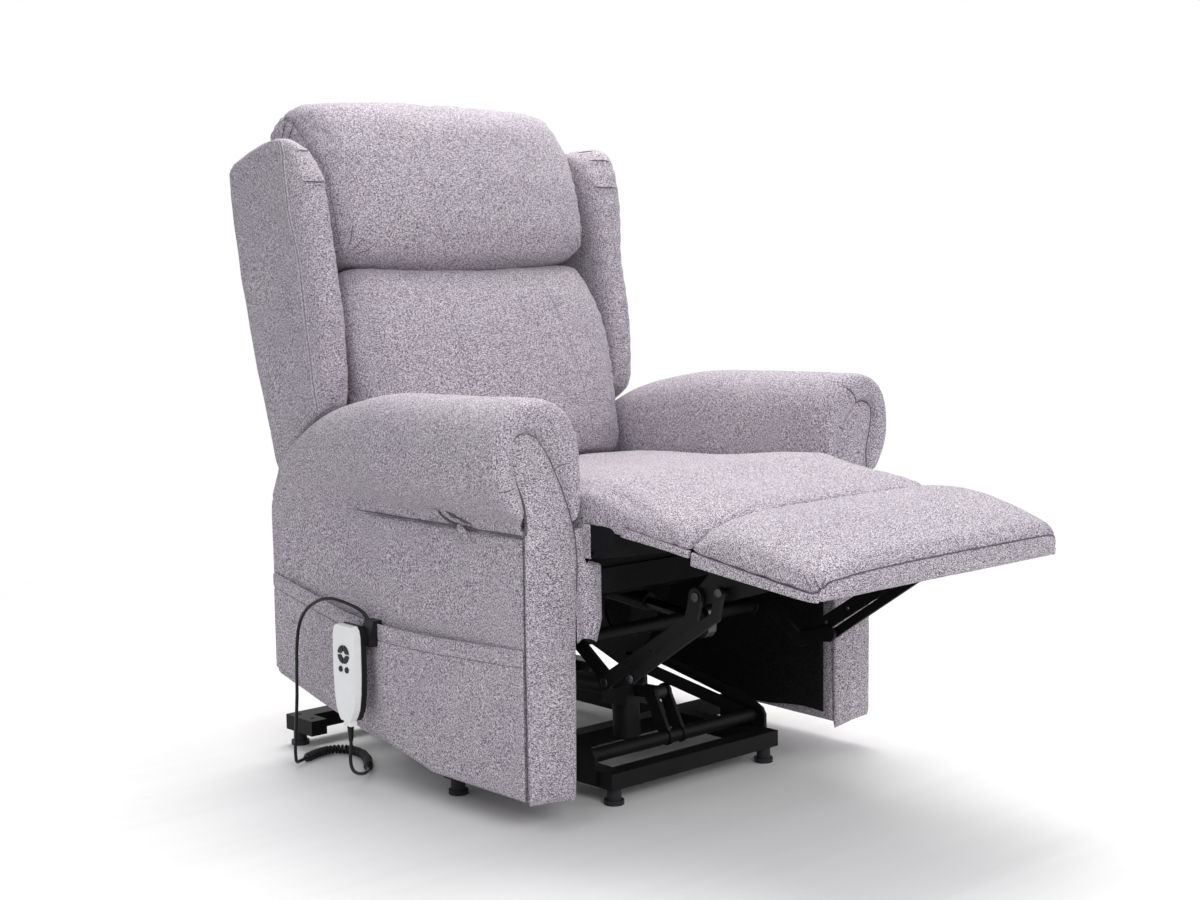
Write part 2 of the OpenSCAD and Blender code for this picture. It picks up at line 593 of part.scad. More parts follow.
// Long links and the shorter links beside them, each with a shallow elbow near its top
elbow = p_foot_long + [10, -36];
short_elbow = p_foot_short + [8, -34];
module long_links() color(c_steel) placed() both_sides() sheet_x(long_in, link_t) difference() {
    link_2d([p_knee, elbow, p_foot_long], long_w);
    hole_2d(p_knee, stud_r + run_gap);
    hole_2d(p_foot_long, stud_r + open_gap);
    for (t = [0.3, 0.55]) hole_2d(p_knee + t * (elbow - p_knee), 3);
}
module short_links() color(c_steel) placed() both_sides() sheet_x(short_in, link_t) difference() {
    link_2d([p_knee_short, short_elbow, p_foot_short], link_w - 4);
    hole_2d(p_knee_short, stud_r + run_gap);
    hole_2d(p_foot_short, stud_r + open_gap);
}

// ---------- actuators under the seat ----------

leg_line = p_crank_tube - p_rear_cross;
leg_a = atan2(leg_line[1], -leg_line[0]) - 1.6;    // aimed between the tube's places as it swings
module at_rear_cross() translate([motor_x, p_rear_cross[0], p_rear_cross[1]]) rotate([leg_a, 0, 180]) children();
module leg_rest_motor() color(c_motor) placed() at_rear_cross()
    actuator_body(cross_r + run_gap, 22, 214, 86, 44, 48);
module leg_rest_rod() color(c_white * 0.8) placed() at_rear_cross()
    actuator_rod(190, norm(leg_line), cross_r + open_gap, 9);

recline_line = p_back_lever - p_front_cross;
recline_a = atan2(recline_line[1], recline_line[0]);
module at_front_cross() translate([-motor_x, p_front_cross[0], p_front_cross[1]]) rotate([recline_a, 0, 0]) children();
module recline_motor() color(c_motor) placed() at_front_cross()
    actuator_body(cross_r + run_gap, 22, 226, 88, 44, 48);
module recline_rod() color(c_white * 0.8) placed() at_front_cross()
    actuator_rod(190, norm(recline_line), stud_r + open_gap, 4);

module control_box() color(c_black) placed() translate([-45, 290, rail_bottom_z - 4]) cube([90, 110, frame_top_z - rail_bottom_z + 4]);

// ---------- back ----------

// Frame of the back: origin at the foot of its front face, +Z along the lean
module on_back() translate([0, back_y, back_z]) rotate([-back_lean, 0, 0]) children();

upright_x = plate_out + 4;
low_rail_up = -60;
module back_uprights() color(c_steel) placed() on_back() both_sides() difference() {
    translate([upright_x, tube_front, hinge_up - 16]) cube([back_tube, back_tube, wing_len - 20 - hinge_up]);
    translate([upright_x - 1, hinge_in, hinge_up]) rotate([0, 90, 0])
        cylinder(h = back_tube + 2, r = stud_r + 2 + run_gap);
}

module back_low_rail() color(c_steel) placed() on_back()
    translate([-upright_x, tube_front, low_rail_up]) cube([2 * upright_x, back_tube, back_tube]);

module back_wood_rails() color(c_wood) placed() on_back() for (z = [240, 520])
    translate([-wing_in, tube_rear, z]) cube([2 * wing_in, wood_d, 28]);

// Lever under the back that the recline rod pulls
back_pin = let (d = p_back_lever - p_hinge) [hinge_in, hinge_up]
    + [d[0] * cos(back_lean) - d[1] * sin(back_lean), d[0] * sin(back_lean) + d[1] * cos(back_lean)];
module back_lever() color(c_steel) placed() on_back() translate([-motor_x, 0, 0]) {
    both_sides() sheet_x(lever_gap / 2, link_t) {
        polygon([[tube_front, low_rail_up], [tube_rear, low_rail_up], back_pin + [10, 4], back_pin + [-10, -4]]);
        translate(back_pin) circle(d = lift_w);
    }
    bar_x(-lever_gap / 2 - 1, lever_gap + 2, back_pin, stud_r);
}

low_half = box_in - 20;
module back_panel() color(c_cloth) placed() on_back() difference() {
    sheet_x(-wing_in, 2 * wing_in) polygon([
        [panel_front, -125], each [for (p = rear_curve) if (p[0] < panel_top) [p[1], p[0]]],
        [lookup(panel_top, rear_curve), panel_top], [panel_front, panel_top]]);
    both_sides() translate([low_half, 0, -200]) cube([100, 400, 290]);
}

back_rear = tube_front - seat;
back_front = back_rear - back_cushion_t;
function back_half(z) = lookup(z, [[0, low_half - 8], [130, low_half - 6], [210, wing_in - 12], [350, wing_in - 12]]);
module back_cushion() color(c_cloth) placed() on_back() skin([
    back_ring(6, back_half(0) - 12, back_front + 24, back_rear - 6, 2, 0),
    back_ring(16, back_half(0), back_front + 6, back_rear, 8, 0),
    each [for (z = [70, 140, 200, 260, 310]) back_ring(z, back_half(z), back_front, back_rear, 16, 0)],
    back_ring(crease_len - 8, back_half(300), back_front + 10, back_rear, 10, 0),
    back_ring(crease_len - seat / 2, back_half(300) - 8, back_front + 28, back_rear - 6, 4, 0)
]);

// Headrest: full at the bottom, wrapped over the top of the back
head_half = wing_in - 11;
head_wrap = panel_front - seat;
module headrest() color(c_cloth) placed() on_back() skin([
    back_ring(crease_len + seat / 2, head_half - 12, back_front + 26, back_rear - 6, 4, 0),
    back_ring(crease_len + 12, head_half - 3, back_front - 2, back_rear, 10, 0),
    back_ring(crease_len + 40, head_half, back_front - 16, back_rear, 14, 0),
    back_ring(crease_len + 100, head_half, back_front - 20, back_rear, 14, 0),
    back_ring(back_len - 130, head_half, back_front - 18, back_rear, 14, 0),
    back_ring(back_len - 88, head_half, back_front - 14, back_rear, 12, 0),
    back_ring(back_len - 74, head_half, back_front - 12, head_wrap, 12, 4),
    back_ring(back_len - 46, head_half - 1, back_front - 6, head_wrap, 10, 8),
    back_ring(back_len - 22, head_half - 4, back_front + 6, head_wrap - 18, 8, 14),
    back_ring(back_len - 8, head_half - 10, back_front + 20, head_wrap - 46, 4, 20),
    back_ring(back_len, head_half - 30, back_front + 44, head_wrap - 84, 0, 22)
]);

// Front edge of a wing along the lean: it clears the falling rear of the arm pad
wing_front = [[54, 198], [72, 176], [88, 150], [102, 116], [112, 86], [122, 52], [134, 36], [200, 14],
    [256, 2], [352, -8], [448, -18], [505, -16], [535, -2], [552, 26], [wing_len, 70]];
function wing_rear(z) = lookup(z, rear_curve) - (z > wing_len - 20 ? (z - wing_len + 20) * 1.4 : 0);
function wing_ring(i) = let (z = wing_front[i][0], y0 = wing_front[i][1], y1 = wing_rear(z), half = wing_t / 2,
        thin = z < 60 || z > wing_len - 8 ? 0.72 : z < 76 || z > wing_len - 20 ? 0.9 : 1)
    [for (p = round_outline(half * thin, (y1 - y0) / 2, 5, 24)) [wing_in + half - p[0], (y0 + y1) / 2 + p[1], z]];
module wing() skin([for (i = [0:len(wing_front) - 1]) wing_ring(i)]);
module wing_left() color(c_cloth) placed() on_back() translate([0.3, 0, 0]) wing();
module wing_right() color(c_cloth) placed() on_back() mirror([1, 0, 0]) translate([0.3, 0, 0]) wing();

// ---------- handset and cord ----------

// Handset frame: X outwards from its back, Z up, origin at the top centre of its rear wall
module at_handset() translate([handset_x, handset_y, handset_top_z]) mirror([1, 0, 0]) children();
// Outline of the handset from its top down: rounded top, drawn in towards the collar
function handset_outline(grow) = [for (p = [[-0.36, 0], [-0.45, -6], [-0.49, -16], [-0.5, -34], [-0.5, -74],
        [-0.47, -104], [-0.4, -128], [-0.3, -handset_h + 6], [-0.22, -handset_h]])
        [p[0] * handset_w - grow, p[1]],
    for (p = [[0.22, -handset_h], [0.3, -handset_h + 6], [0.4, -128], [0.47, -104], [0.5, -74],
        [0.5, -34], [0.49, -16], [0.45, -6], [0.36, 0]]) [p[0] * handset_w + grow, p[1]]];
module handset_back() color(c_black) placed() at_handset()
    sheet_x(0, handset_back_t) polygon(handset_outline(0));

button_gap = 0.4;
pad_depth = 3;
module ring_sector(a, grow) intersection() {
    difference() {
        circle(r = ring_r + grow);
        circle(r = 5.5 - grow);
    }
    rotate(a) polygon([[1.6 - 1.5 * grow, 1.6 - 1.5 * grow], [30, 1.6 - 1.5 * grow], [30, 30], [1.6 - 1.5 * grow, 30]]);
}
function small_button(side) = [side * 8, button_z - handset_top_z - 23];
module handset_front() color(c_white) placed() at_handset() difference() {
    union() {
        sheet_x(handset_back_t, handset_front_t) polygon(handset_outline(-1.5));
        translate([handset_back_t - 3, -9, -handset_h - 9]) cube([12, 18, 9]);
    }
    sheet_x(handset_back_t + handset_front_t - pad_depth, pad_depth + 1) {
        for (a = [0:90:270]) translate([0, button_z - handset_top_z]) ring_sector(a, button_gap);
        for (s = [-1, 1]) translate(small_button(s)) circle(r = 4.4 + button_gap);
    }
}
button_rise_h = 1.6;
button_foot = button_travel + 0.2;
module button_at() sheet_x(handset_back_t + handset_front_t - pad_depth + button_foot, pad_depth - button_foot + button_rise_h) children();
module ring_button(a) color(c_black) placed() at_handset() button_at()
    translate([0, button_z - handset_top_z]) ring_sector(a, 0);
module small_button_at(s) color(c_black) placed() at_handset() button_at() translate(small_button(s)) circle(r = 4.4);
module button_back_up() ring_button(0);
module button_legs_up() ring_button(90);
module button_legs_down() ring_button(180);
module button_back_down() ring_button(270);
module button_rise() small_button_at(-1);
module button_lower() small_button_at(1);

// Hook on the handset's back that hangs over the pocket rim
hook_y = 352;
rim_z = lookup(hook_y, pocket_rim);
rim_out = pocket_x(hook_y, 1) + pocket_t;
module handset_hook() color(c_black) placed() mirror([1, 0, 0])
    translate([0, hook_y + 12, 0]) rotate([90, 0, 0]) linear_extrude(24) polygon([
        [-handset_x, rim_z - 34], [-handset_x, handset_top_z - 10], [rim_out + 8, rim_z + 5],
        [rim_out - pocket_t - 5, rim_z + 5], [rim_out - pocket_t - 5, rim_z - 20],
        [rim_out - pocket_t - 2, rim_z - 20], [rim_out - pocket_t - 2, rim_z + 1],
        [rim_out + 1, rim_z + 1], [rim_out + 1, rim_z - 34]]);

relief_len = 24;
collar_z = handset_top_z - handset_h - 9;
cord_x = handset_x - handset_back_t - 3;
module handset_relief() color(c_black) placed() translate([cord_x, handset_y, collar_z - relief_len])
    cylinder(h = relief_len, r1 = cord_d / 2 + 0.8, r2 = cord_d / 2 + 2.6);

// Route of the cord, chosen by hand: [x, y, z] from the arm fronts. The coil lies on the floor.
coil_r = 4.3;
coil_z = coil_r + cord_d / 2 + 0.2;
coil_route = [[-372, 558, coil_z], [-340, 572, coil_z], [-318, 576, coil_z], [-300, 572, coil_z],
    [-287, 556, coil_z], [-284, 536, coil_z], [-287, 514, coil_z], [-300, 484, coil_z],
    [-317, 457, coil_z], [-330, 440, coil_z]];
coil_end = len(coil_route) - 1;
coil_start_dir = unit(coil_route[1] - coil_route[0]);
coil_end_dir = unit(coil_route[coil_end] - coil_route[coil_end - 1]);
stub = cord_d + 1;                         // straight length at each end of the coil
lead_in = [[-367.6, 373, 224], [-367.6, 373, 240], [-367.7, 374, 254], [-369.4, 378, 266], [-375, 385, 275],
    [-383, 396, 282], [-390, 413, 287], [-395, 434, 289], [-399, 458, 284], [-401, 490, 267],
    [-402, 512, 240], [-402, 521, 206], [-402, 524, 166], [-401, 527, 126], [-400, 532, 88], [-399, 537, 58],
    [-398, 541, 36], [-396, 544, 20], [-393, 547, 11],
    coil_route[0] - 18 * coil_start_dir, coil_route[0] - stub * coil_start_dir];
lead_out = [coil_route[coil_end] + stub * coil_end_dir, coil_route[coil_end] + 16 * coil_end_dir,
    [-352, 419, 9], [-369, 409, 14], [-384, 400, 23], [-394, 392, 36], [-399, 386, 50],
    [cord_x, handset_y, 64], [cord_x, handset_y, collar_z - relief_len]];

// Point at a distance s along a route
function run(path, i) = i == 0 ? 0 : run(path, i - 1) + norm(path[i] - path[i - 1]);
coil_table = [for (k = [0:2]) [for (i = [0:coil_end]) [run(coil_route, i), coil_route[i][k]]]];
coil_len = run(coil_route, coil_end);
function route_at(s) = [for (k = [0:2]) lookup(s, coil_table[k])];
curl_rings = 8;
coil_steps = curls * curl_rings;
// The curls grow from the centre line over the first turn and fade to it over the last
function coil_point(i) = let (s = coil_len * i / coil_steps,
        d = unit(route_at(min(coil_len, s + 14)) - route_at(max(0, s - 14))),
        v = cross(d, [0, 0, 1]), a = 360 * i / curl_rings,
        r = coil_r * min(1, i / curl_rings, (coil_steps - i) / curl_rings))
    route_at(s) + r * (cos(a) * [0, 0, 1] + sin(a) * v);
coil_path = [coil_route[0] - stub * coil_start_dir, each [for (i = [0:coil_steps]) coil_point(i)],
    coil_route[coil_end] + stub * coil_end_dir];
// Least gap between points at least half a curl apart
coil_gap = min([for (i = [0:coil_steps - 5], j = [i + 5:min(i + 12, coil_steps)])
    norm(coil_path[j] - coil_path[i])]) - cord_d;
echo(coil_least_gap = coil_gap);

module cord_coil() color(c_black) placed() tube(coil_path, cord_d / 2, 6, [0, 0, 1]);
module cord_leads() color(c_black) placed() {
    tube(lead_in, cord_d / 2, 8, [1, 0, 0.01]);
    tube(lead_out, cord_d / 2, 8, [1, 0, 0.01]);
}

base_cross_bars();
base_side_rails();
base_rear_bar();
base_feet();
base_brackets();
lift_arms();
lift_shaft();
lift_links();
lift_motor();
lift_rod();
side_plates();
seat_cross_rails();
seat_side_rails();
cross_tubes();
seat_deck();
arm_box_left();
arm_box_right();
arm_pad_left();
arm_pad_right();
arm_facings();
seat_cushion();
side_pocket();
gusset_flaps();
arm_linings();
rear_valance();
control_box();
recline_motor();
leg_rest_motor();
handset_hook();
handset_back();
handset_front();
handset_relief();
cord_coil();
cord_leads();
back_uprights();
back_low_rail();
back_wood_rails();
back_lever();
back_panel();
back_cushion();
headrest();
wing_left();
wing_right();
recline_rod();
calf_pad();
calf_board();
foot_pad();
foot_board();
foot_brackets();
crank_links();
crank_tube();
long_links();
short_links();
leg_rest_rod();
button_back_up();
button_back_down();
button_legs_up();
button_legs_down();
button_rise();
button_lower();
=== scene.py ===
import json
import math

import bpy
from mathutils import Matrix, Vector, noise


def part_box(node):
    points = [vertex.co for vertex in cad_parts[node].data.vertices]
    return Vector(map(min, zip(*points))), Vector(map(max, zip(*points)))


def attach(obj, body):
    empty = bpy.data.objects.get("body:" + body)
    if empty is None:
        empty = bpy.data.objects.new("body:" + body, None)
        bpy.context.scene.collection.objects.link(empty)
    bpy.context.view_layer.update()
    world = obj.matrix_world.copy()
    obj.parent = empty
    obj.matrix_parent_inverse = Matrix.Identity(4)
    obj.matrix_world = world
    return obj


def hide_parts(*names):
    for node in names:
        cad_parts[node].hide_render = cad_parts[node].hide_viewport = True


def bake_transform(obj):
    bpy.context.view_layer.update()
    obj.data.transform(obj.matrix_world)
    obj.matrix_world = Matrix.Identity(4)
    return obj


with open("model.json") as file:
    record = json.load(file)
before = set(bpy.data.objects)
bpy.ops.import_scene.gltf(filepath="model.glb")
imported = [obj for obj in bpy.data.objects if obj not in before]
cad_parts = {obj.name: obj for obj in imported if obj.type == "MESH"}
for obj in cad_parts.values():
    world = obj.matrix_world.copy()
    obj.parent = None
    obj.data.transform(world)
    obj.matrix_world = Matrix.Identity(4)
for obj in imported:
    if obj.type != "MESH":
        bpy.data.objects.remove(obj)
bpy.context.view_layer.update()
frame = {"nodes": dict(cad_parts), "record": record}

# Sizes are in millimetres from the front face of the arms.
# The row frame is in metres about the chair's centre.
MM = 0.001
MID = 36.0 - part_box("base_cross_bars")[0][1] * 1000
LEAN = math.radians(17)
SLOPE = math.radians(8.25)
LIP_Y, LIP_Z = -10.0, 432.0
CALF_LEN, FOOT_LEN = 195.0, 228.0
SIDES = ((-1, "right"), (1, "left"))


# ---------- places ----------

def place(origin, turn):
    """Matrix from a piece's own millimetres to the row frame: origin, then a turn about X."""
    shift = Matrix.Translation(Vector((origin[0], origin[1] - MID, origin[2])) * MM)
    return shift @ Matrix.Rotation(turn, 4, "X") @ Matrix.Scale(MM, 4)


WHOLE = place((0, 0, 0), 0)
ON_BACK = place((0, 450, 465), -LEAN)
ON_REST = place((0, LIP_Y, LIP_Z), SLOPE)


def lerp(table, x):
    """Value of a table of (x, value) rows at x, along straight lines."""
    if x <= table[0][0]:
        return table[0][1]
    for (x0, v0), (x1, v1) in zip(table, table[1:]):
        if x <= x1:
            return v0 + (v1 - v0) * (x - x0) / (x1 - x0)
    return table[-1][1]


def spread(a, b, n):
    """n + 1 values from a to b at even distances."""
    return [a + (b - a) * i / n for i in range(n + 1)]


def ease(t):
    """0 to 1 for t from 0 to 1, with soft ends."""
    t = min(1.0, max(0.0, t))
    return t * t * (3 - 2 * t)


def bell(d, width):
    """1 at d = 0, falling smoothly to nothing by about twice the width."""
    return math.exp(-(d / width) ** 2)


def flowing(rows, step):
    """Rows of numbers, first column rising, refined to about that step along smooth curves."""
    out = []
    for i in range(len(rows) - 1):
        p0, p1 = rows[max(i - 1, 0)], rows[i]
        p2, p3 = rows[i + 1], rows[min(i + 2, len(rows) - 1)]
        count = max(1, round(abs(p2[0] - p1[0]) / step))
        for k in range(count):
            t = k / count
            row = []
            for a, b, c, d in zip(p0, p1, p2, p3):
                m1, m2 = (c - a) / 2, (d - b) / 2
                if (c - b) * (b - a) <= 0:
                    m1 = 0
                if (d - c) * (c - b) <= 0:
                    m2 = 0
                row.append((2 * t ** 3 - 3 * t * t + 1) * b + (t ** 3 - 2 * t * t + t) * m1
                           + (3 * t * t - 2 * t ** 3) * c + (t ** 3 - t * t) * m2)
            out.append(row)
    out.append(list(rows[-1]))
    return out


def smooth_path(points, step):
    """Points along a smooth curve through the given ones, about a step apart."""
    out = []
    last = len(points) - 1
    for i in range(last):
        p0, p1 = Vector(points[max(i - 1, 0)]), Vector(points[i])
        p2, p3 = Vector(points[i + 1]), Vector(points[min(i + 2, last)])
        count = max(1, round((p2 - p1).length / step))
        for k in range(count):
            t = k / count
            out.append(0.5 * (2 * p1 + (p2 - p0) * t + (2 * p0 - 5 * p1 + 4 * p2 - p3) * t * t
                              + (3 * p1 - p0 - 3 * p2 + p3) * t ** 3))
    out.append(Vector(points[last]))
    return out


# ---------- meshes ----------

def evenly(points, n):
    """n + 1 points at even distances along a line of points."""
    run = [0.0]
    for a, b in zip(points, points[1:]):
        run.append(run[-1] + math.dist(a, b))
    out, k = [], 0
    for i in range(n + 1):
        goal = run[-1] * i / n
        while k < len(run) - 2 and run[k + 1] < goal:
            k += 1
        t = min(1.0, (goal - run[k]) / (run[k + 1] - run[k] or 1))
        out.append(tuple(u + (v - u) * t for u, v in zip(points[k], points[k + 1])))
    return out


def rounded(half_a, half_b, bend, n, rear=None):
    """Evenly spaced outline of a rounded rectangle: a higher bend has squarer corners."""
    fine = []
    for i in range(361):
        t = math.tau * i / 360
        c, s = math.cos(t), math.sin(t)
        k = 2 / (rear if rear and s > 0 else bend)
        fine.append((half_a * math.copysign(abs(c) ** k, c), half_b
                     * math.copysign(abs(s) ** k, s)))
    return evenly(fine, n)[:-1]


def middle_of(ring):
    return sum((Vector(p) for p in ring), Vector()) / len(ring)


def spokes(a, b, n):
    """n directions round a circle that starts at a and turns towards b."""
    return [a * math.cos(math.tau * k / n) + b * math.sin(math.tau * k / n) for k in range(n)]


def bands(rows, n, base=0):
    """Faces between rows of n points each, whose first point has the number base."""
    return [(base + i * n + j, base + i * n + (j + 1) % n, base + (i + 1) * n + (j + 1) % n,
             base + (i + 1) * n + j) for i in range(rows - 1) for j in range(n)]


def close_up(rings, steps=4):
    """The rings with smaller ones added inside each end, so that the ends are covered evenly."""
    def inner(ring):
        centre = middle_of(ring)
        return [[centre.lerp(Vector(p), 1 - k / steps) for p in ring] for k in range(1, steps)]
    return list(reversed(inner(rings[0]))) + rings + inner(rings[-1])


def make(name, verts, faces, where=WHOLE, shape=None):
    """A smooth mesh object; shape(point, normal) gives how far each point moves out."""
    mesh = bpy.data.meshes.new(name)
    mesh.from_pydata([tuple(v) for v in verts], [], faces)
    mesh.validate()
    mesh.update()
    if shape:
        normals = [n.vector.copy() for n in mesh.vertex_normals]
        for v, n in zip(mesh.vertices, normals):
            moved = shape(v.co.copy(), n)
            v.co = v.co + (moved if isinstance(moved, Vector) else n * moved)
    mesh.transform(where)
    for p in mesh.polygons:
        p.use_smooth = True
    obj = bpy.data.objects.new(name, mesh)
    bpy.context.scene.collection.objects.link(obj)
    return obj


def skin(name, rings, where=WHOLE, shape=None, closed=True, flip=False):
    """A closed body over a row of rings."""
    rings = close_up(rings) if closed else rings
    n, m = len(rings[0]), len(rings)
    verts = [p for ring in rings for p in ring]
    faces = bands(m, n)
    if closed:
        for ring, base, turn in ((rings[0], 0, True), (rings[-1], (m - 1) * n, False)):
            verts.append(middle_of(ring))
            hub = len(verts) - 1
            for j in range(n):
                a, b = base + j, base + (j + 1) % n
                faces.append((hub, b, a) if turn else (a, b, hub))
    if flip:
        faces = [tuple(reversed(f)) for f in faces]
    return make(name, verts, faces, where, shape)


def tube(name, path, radius, sides=8, where=WHOLE):
    """A round tube along a path; radius is a number or a function of the place along it."""
    path = [Vector(p) for p in path]
    across = None
    rings = []
    for i, p in enumerate(path):
        along = (path[min(i + 1, len(path) - 1)] - path[max(i - 1, 0)]).normalized()
        if across is None:
            across = along.orthogonal().normalized()
        across = (across - along * across.dot(along)).normalized()
        r = radius(i / (len(path) - 1)) if callable(radius) else radius
        rings.append([p + r * v for v in spokes(across, along.cross(across), sides)])
    n, m = sides, len(rings)
    verts = [q for ring in rings for q in ring] + [path[0], path[-1]]
    faces = bands(m, n)
    faces += [(n * m, (j + 1) % n, j) for j in range(n)]
    faces += [((m - 1) * n + j, (m - 1) * n + (j + 1) % n, n * m + 1) for j in range(n)]
    return make(name, verts, faces, where)


def laid_on(path, onto, where, step):
    """The path at even steps, dropped onto the nearest points of a finished piece."""
    points = smooth_path(path, step)
    if onto is None:
        return points
    back = where.inverted()
    return [back @ onto.closest_point_on_mesh(where @ p)[1] for p in points]


THREAD_SIDES = 6


def lids(base, last):
    """The two end faces of a thread of last + 1 rings, whose first point has the number base."""
    ring = range(THREAD_SIDES)
    return [tuple(base + k for k in reversed(ring)), tuple(base + last * THREAD_SIDES + k
                                                           for k in ring)]


def stitches(name, path, where, body, finish, onto=None, pitch=7.0, length=4.4, thick=0.7):
    """A row of short raised stitches along a path."""
    points = laid_on(path, onto, where, 2.5)
    verts, faces = [], []
    travelled, due = 0.0, 0.0
    for a, b in zip(points, points[1:]):
        span = (b - a).length
        if span == 0:
            continue
        while due <= travelled + span:
            p = a.lerp(b, (due - travelled) / span)
            along = (b - a).normalized()
            side = along.orthogonal().normalized()
            base = len(verts)
            for s, r in ((-1, 0.3), (-0.6, 1), (0.6, 1), (1, 0.3)):
                verts += [p + along * (s * length / 2) + v * thick * r
                          for v in spokes(side, along.cross(side), THREAD_SIDES)]
            faces += bands(4, THREAD_SIDES, base) + lids(base, 3)
            due += pitch
        travelled += span
    fasten(make(name, verts, faces, where), body, finish)


def dress(obj, finish):
    obj.data.materials.clear()
    obj.data.materials.append(finish)
    return obj


def fasten(obj, body, finish):
    """Gives a loose piece its finish and the body that it rides on."""
    dress(obj, finish)
    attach(obj, body)
    return obj


def seam(name, path, body, where=WHOLE, r=1.5, step=6.0, onto=None, finish=None):
    """A sewn seam: a fine roll of folded cloth that lies half sunk in the surface, dark by default
    with the seam shadow finish, which is painted shade in the crease along the seam.
    """
    line = tube(name, laid_on(path, onto, where, step), r, THREAD_SIDES, where)
    fasten(line, body, finish or SEAM_SHADOW)


def folds(name, paths, body, where, onto, r=1.3):
    """Short tubes in the dark seam shadow finish that fade out at both ends, laid into a finished
    piece: painted shade in its tucks and pleats.
    """
    verts, faces = [], []
    for path in paths:
        points = laid_on(path, onto, where, 3.0)
        base, last = len(verts), len(points) - 1
        for i, p in enumerate(points):
            along = (points[min(i + 1, last)] - points[max(i - 1, 0)]).normalized()
            side = along.orthogonal().normalized()
            size = 0.12 + r * max(0.0, math.sin(math.pi * i / last)) ** 0.6
            verts += [p + v * size for v in spokes(side, along.cross(side), THREAD_SIDES)]
        faces += bands(last + 1, THREAD_SIDES, base) + lids(base, last)
    fasten(make(name, verts, faces, where), body, SEAM_SHADOW)


REACH = 2.2                                 # widths of a groove beyond which it isn't felt


def grooves(paths, width, depth):
    """A function of a point that is deepest along the paths and nothing away from them."""
    legs = []
    for path in paths:
        points = [Vector(q) for q in path]
        for a, b in zip(points, points[1:]):
            low = [min(u, v) - REACH * width for u, v in zip(a, b)]
            high = [max(u, v) + REACH * width for u, v in zip(a, b)]
            legs.append((a, b - a, (b - a).length_squared, low, high))

    def depth_at(p):
        near = math.inf
        for a, d, size, low, high in legs:
            if low[0] < p[0] < high[0] and low[1] < p[1] < high[1] and low[2] < p[2] < high[2]:
                v = p - a
                t = min(1.0, max(0.0, v.dot(d) / size))
                near = min(near, (v - d * t).length)
        return depth * bell(near, width) if near < math.inf else 0.0
    return depth_at


# ---------- finishes ----------

class Wire:
    """A shader socket that can be added, multiplied and so on."""

    def __init__(self, finish, socket):
        self.finish, self.socket = finish, socket

    def _maths(self, operation, a, b):
        return self.finish.node("ShaderNodeMath", {"operation": operation}, {0: a, 1: b})

    def __add__(self, other):
        return self._maths("ADD", self, other)

    __radd__ = __add__

    def __sub__(self, other):
        return self._maths("SUBTRACT", self, other)

    def __rsub__(self, other):
        return self._maths("SUBTRACT", other, self)

    def __mul__(self, other):
        return self._maths("MULTIPLY", self, other)

    __rmul__ = __mul__


class Finish:
    """A material built from a few nodes on one Principled shader."""

    def __init__(self, name, **constants):
        self.material = bpy.data.materials.new(name)
        self.material.use_nodes = True
        self.tree = self.material.node_tree
        self.shader = self.tree.nodes["Principled BSDF"]
        for key, value in constants.items():
            self.shader.inputs[key.replace("_", " ")].default_value = value

    def node(self, kind, settings=None, sockets=None, out=0):
        made = self.tree.nodes.new(kind)
        for key, value in (settings or {}).items():
            if key == "stops":
                ramp = made.color_ramp
                while len(ramp.elements) < len(value):
                    ramp.elements.new(1.0)
                for element, (position, colour) in zip(ramp.elements, value):
                    element.position = position
                    element.color = (*colour, 1)
            else:
                setattr(made, key, value)
        for key, value in (sockets or {}).items():
            if isinstance(value, Wire):
                self.tree.links.new(value.socket, made.inputs[key])
            else:
                made.inputs[key].default_value = value
        return Wire(self, made.outputs[out])

    def feed(self, key, wire):
        self.tree.links.new(wire.socket, self.shader.inputs[key])

    def place(self, scale=(1, 1, 1)):
        where = self.node("ShaderNodeTexCoord", out="Object")
        return self.node("ShaderNodeMapping", None, {"Vector": where, "Scale": scale})

    def grain(self, scale, detail=2.0, rough=0.5, twist=0.0):
        return self.node("ShaderNodeTexNoise", None, {"Vector": self.place(scale), "Scale": 1.0,
                                                      "Detail": detail, "Roughness": rough,
                                                      "Distortion": twist})

    def ramp(self, wire, stops):
        return self.node("ShaderNodeValToRGB", {"stops": stops}, {0: wire})

    def blend(self, amount, a, b, mode="MIX"):
        return self.node("ShaderNodeMix", {"data_type": "RGBA", "blend_type": mode},
                         {0: amount, 6: a, 7: b}, out=2)

    def bump(self, height, strength, distance):
        self.feed("Normal", self.node("ShaderNodeBump", None,
                                      {"Height": height, "Strength": strength,
                                       "Distance": distance}))


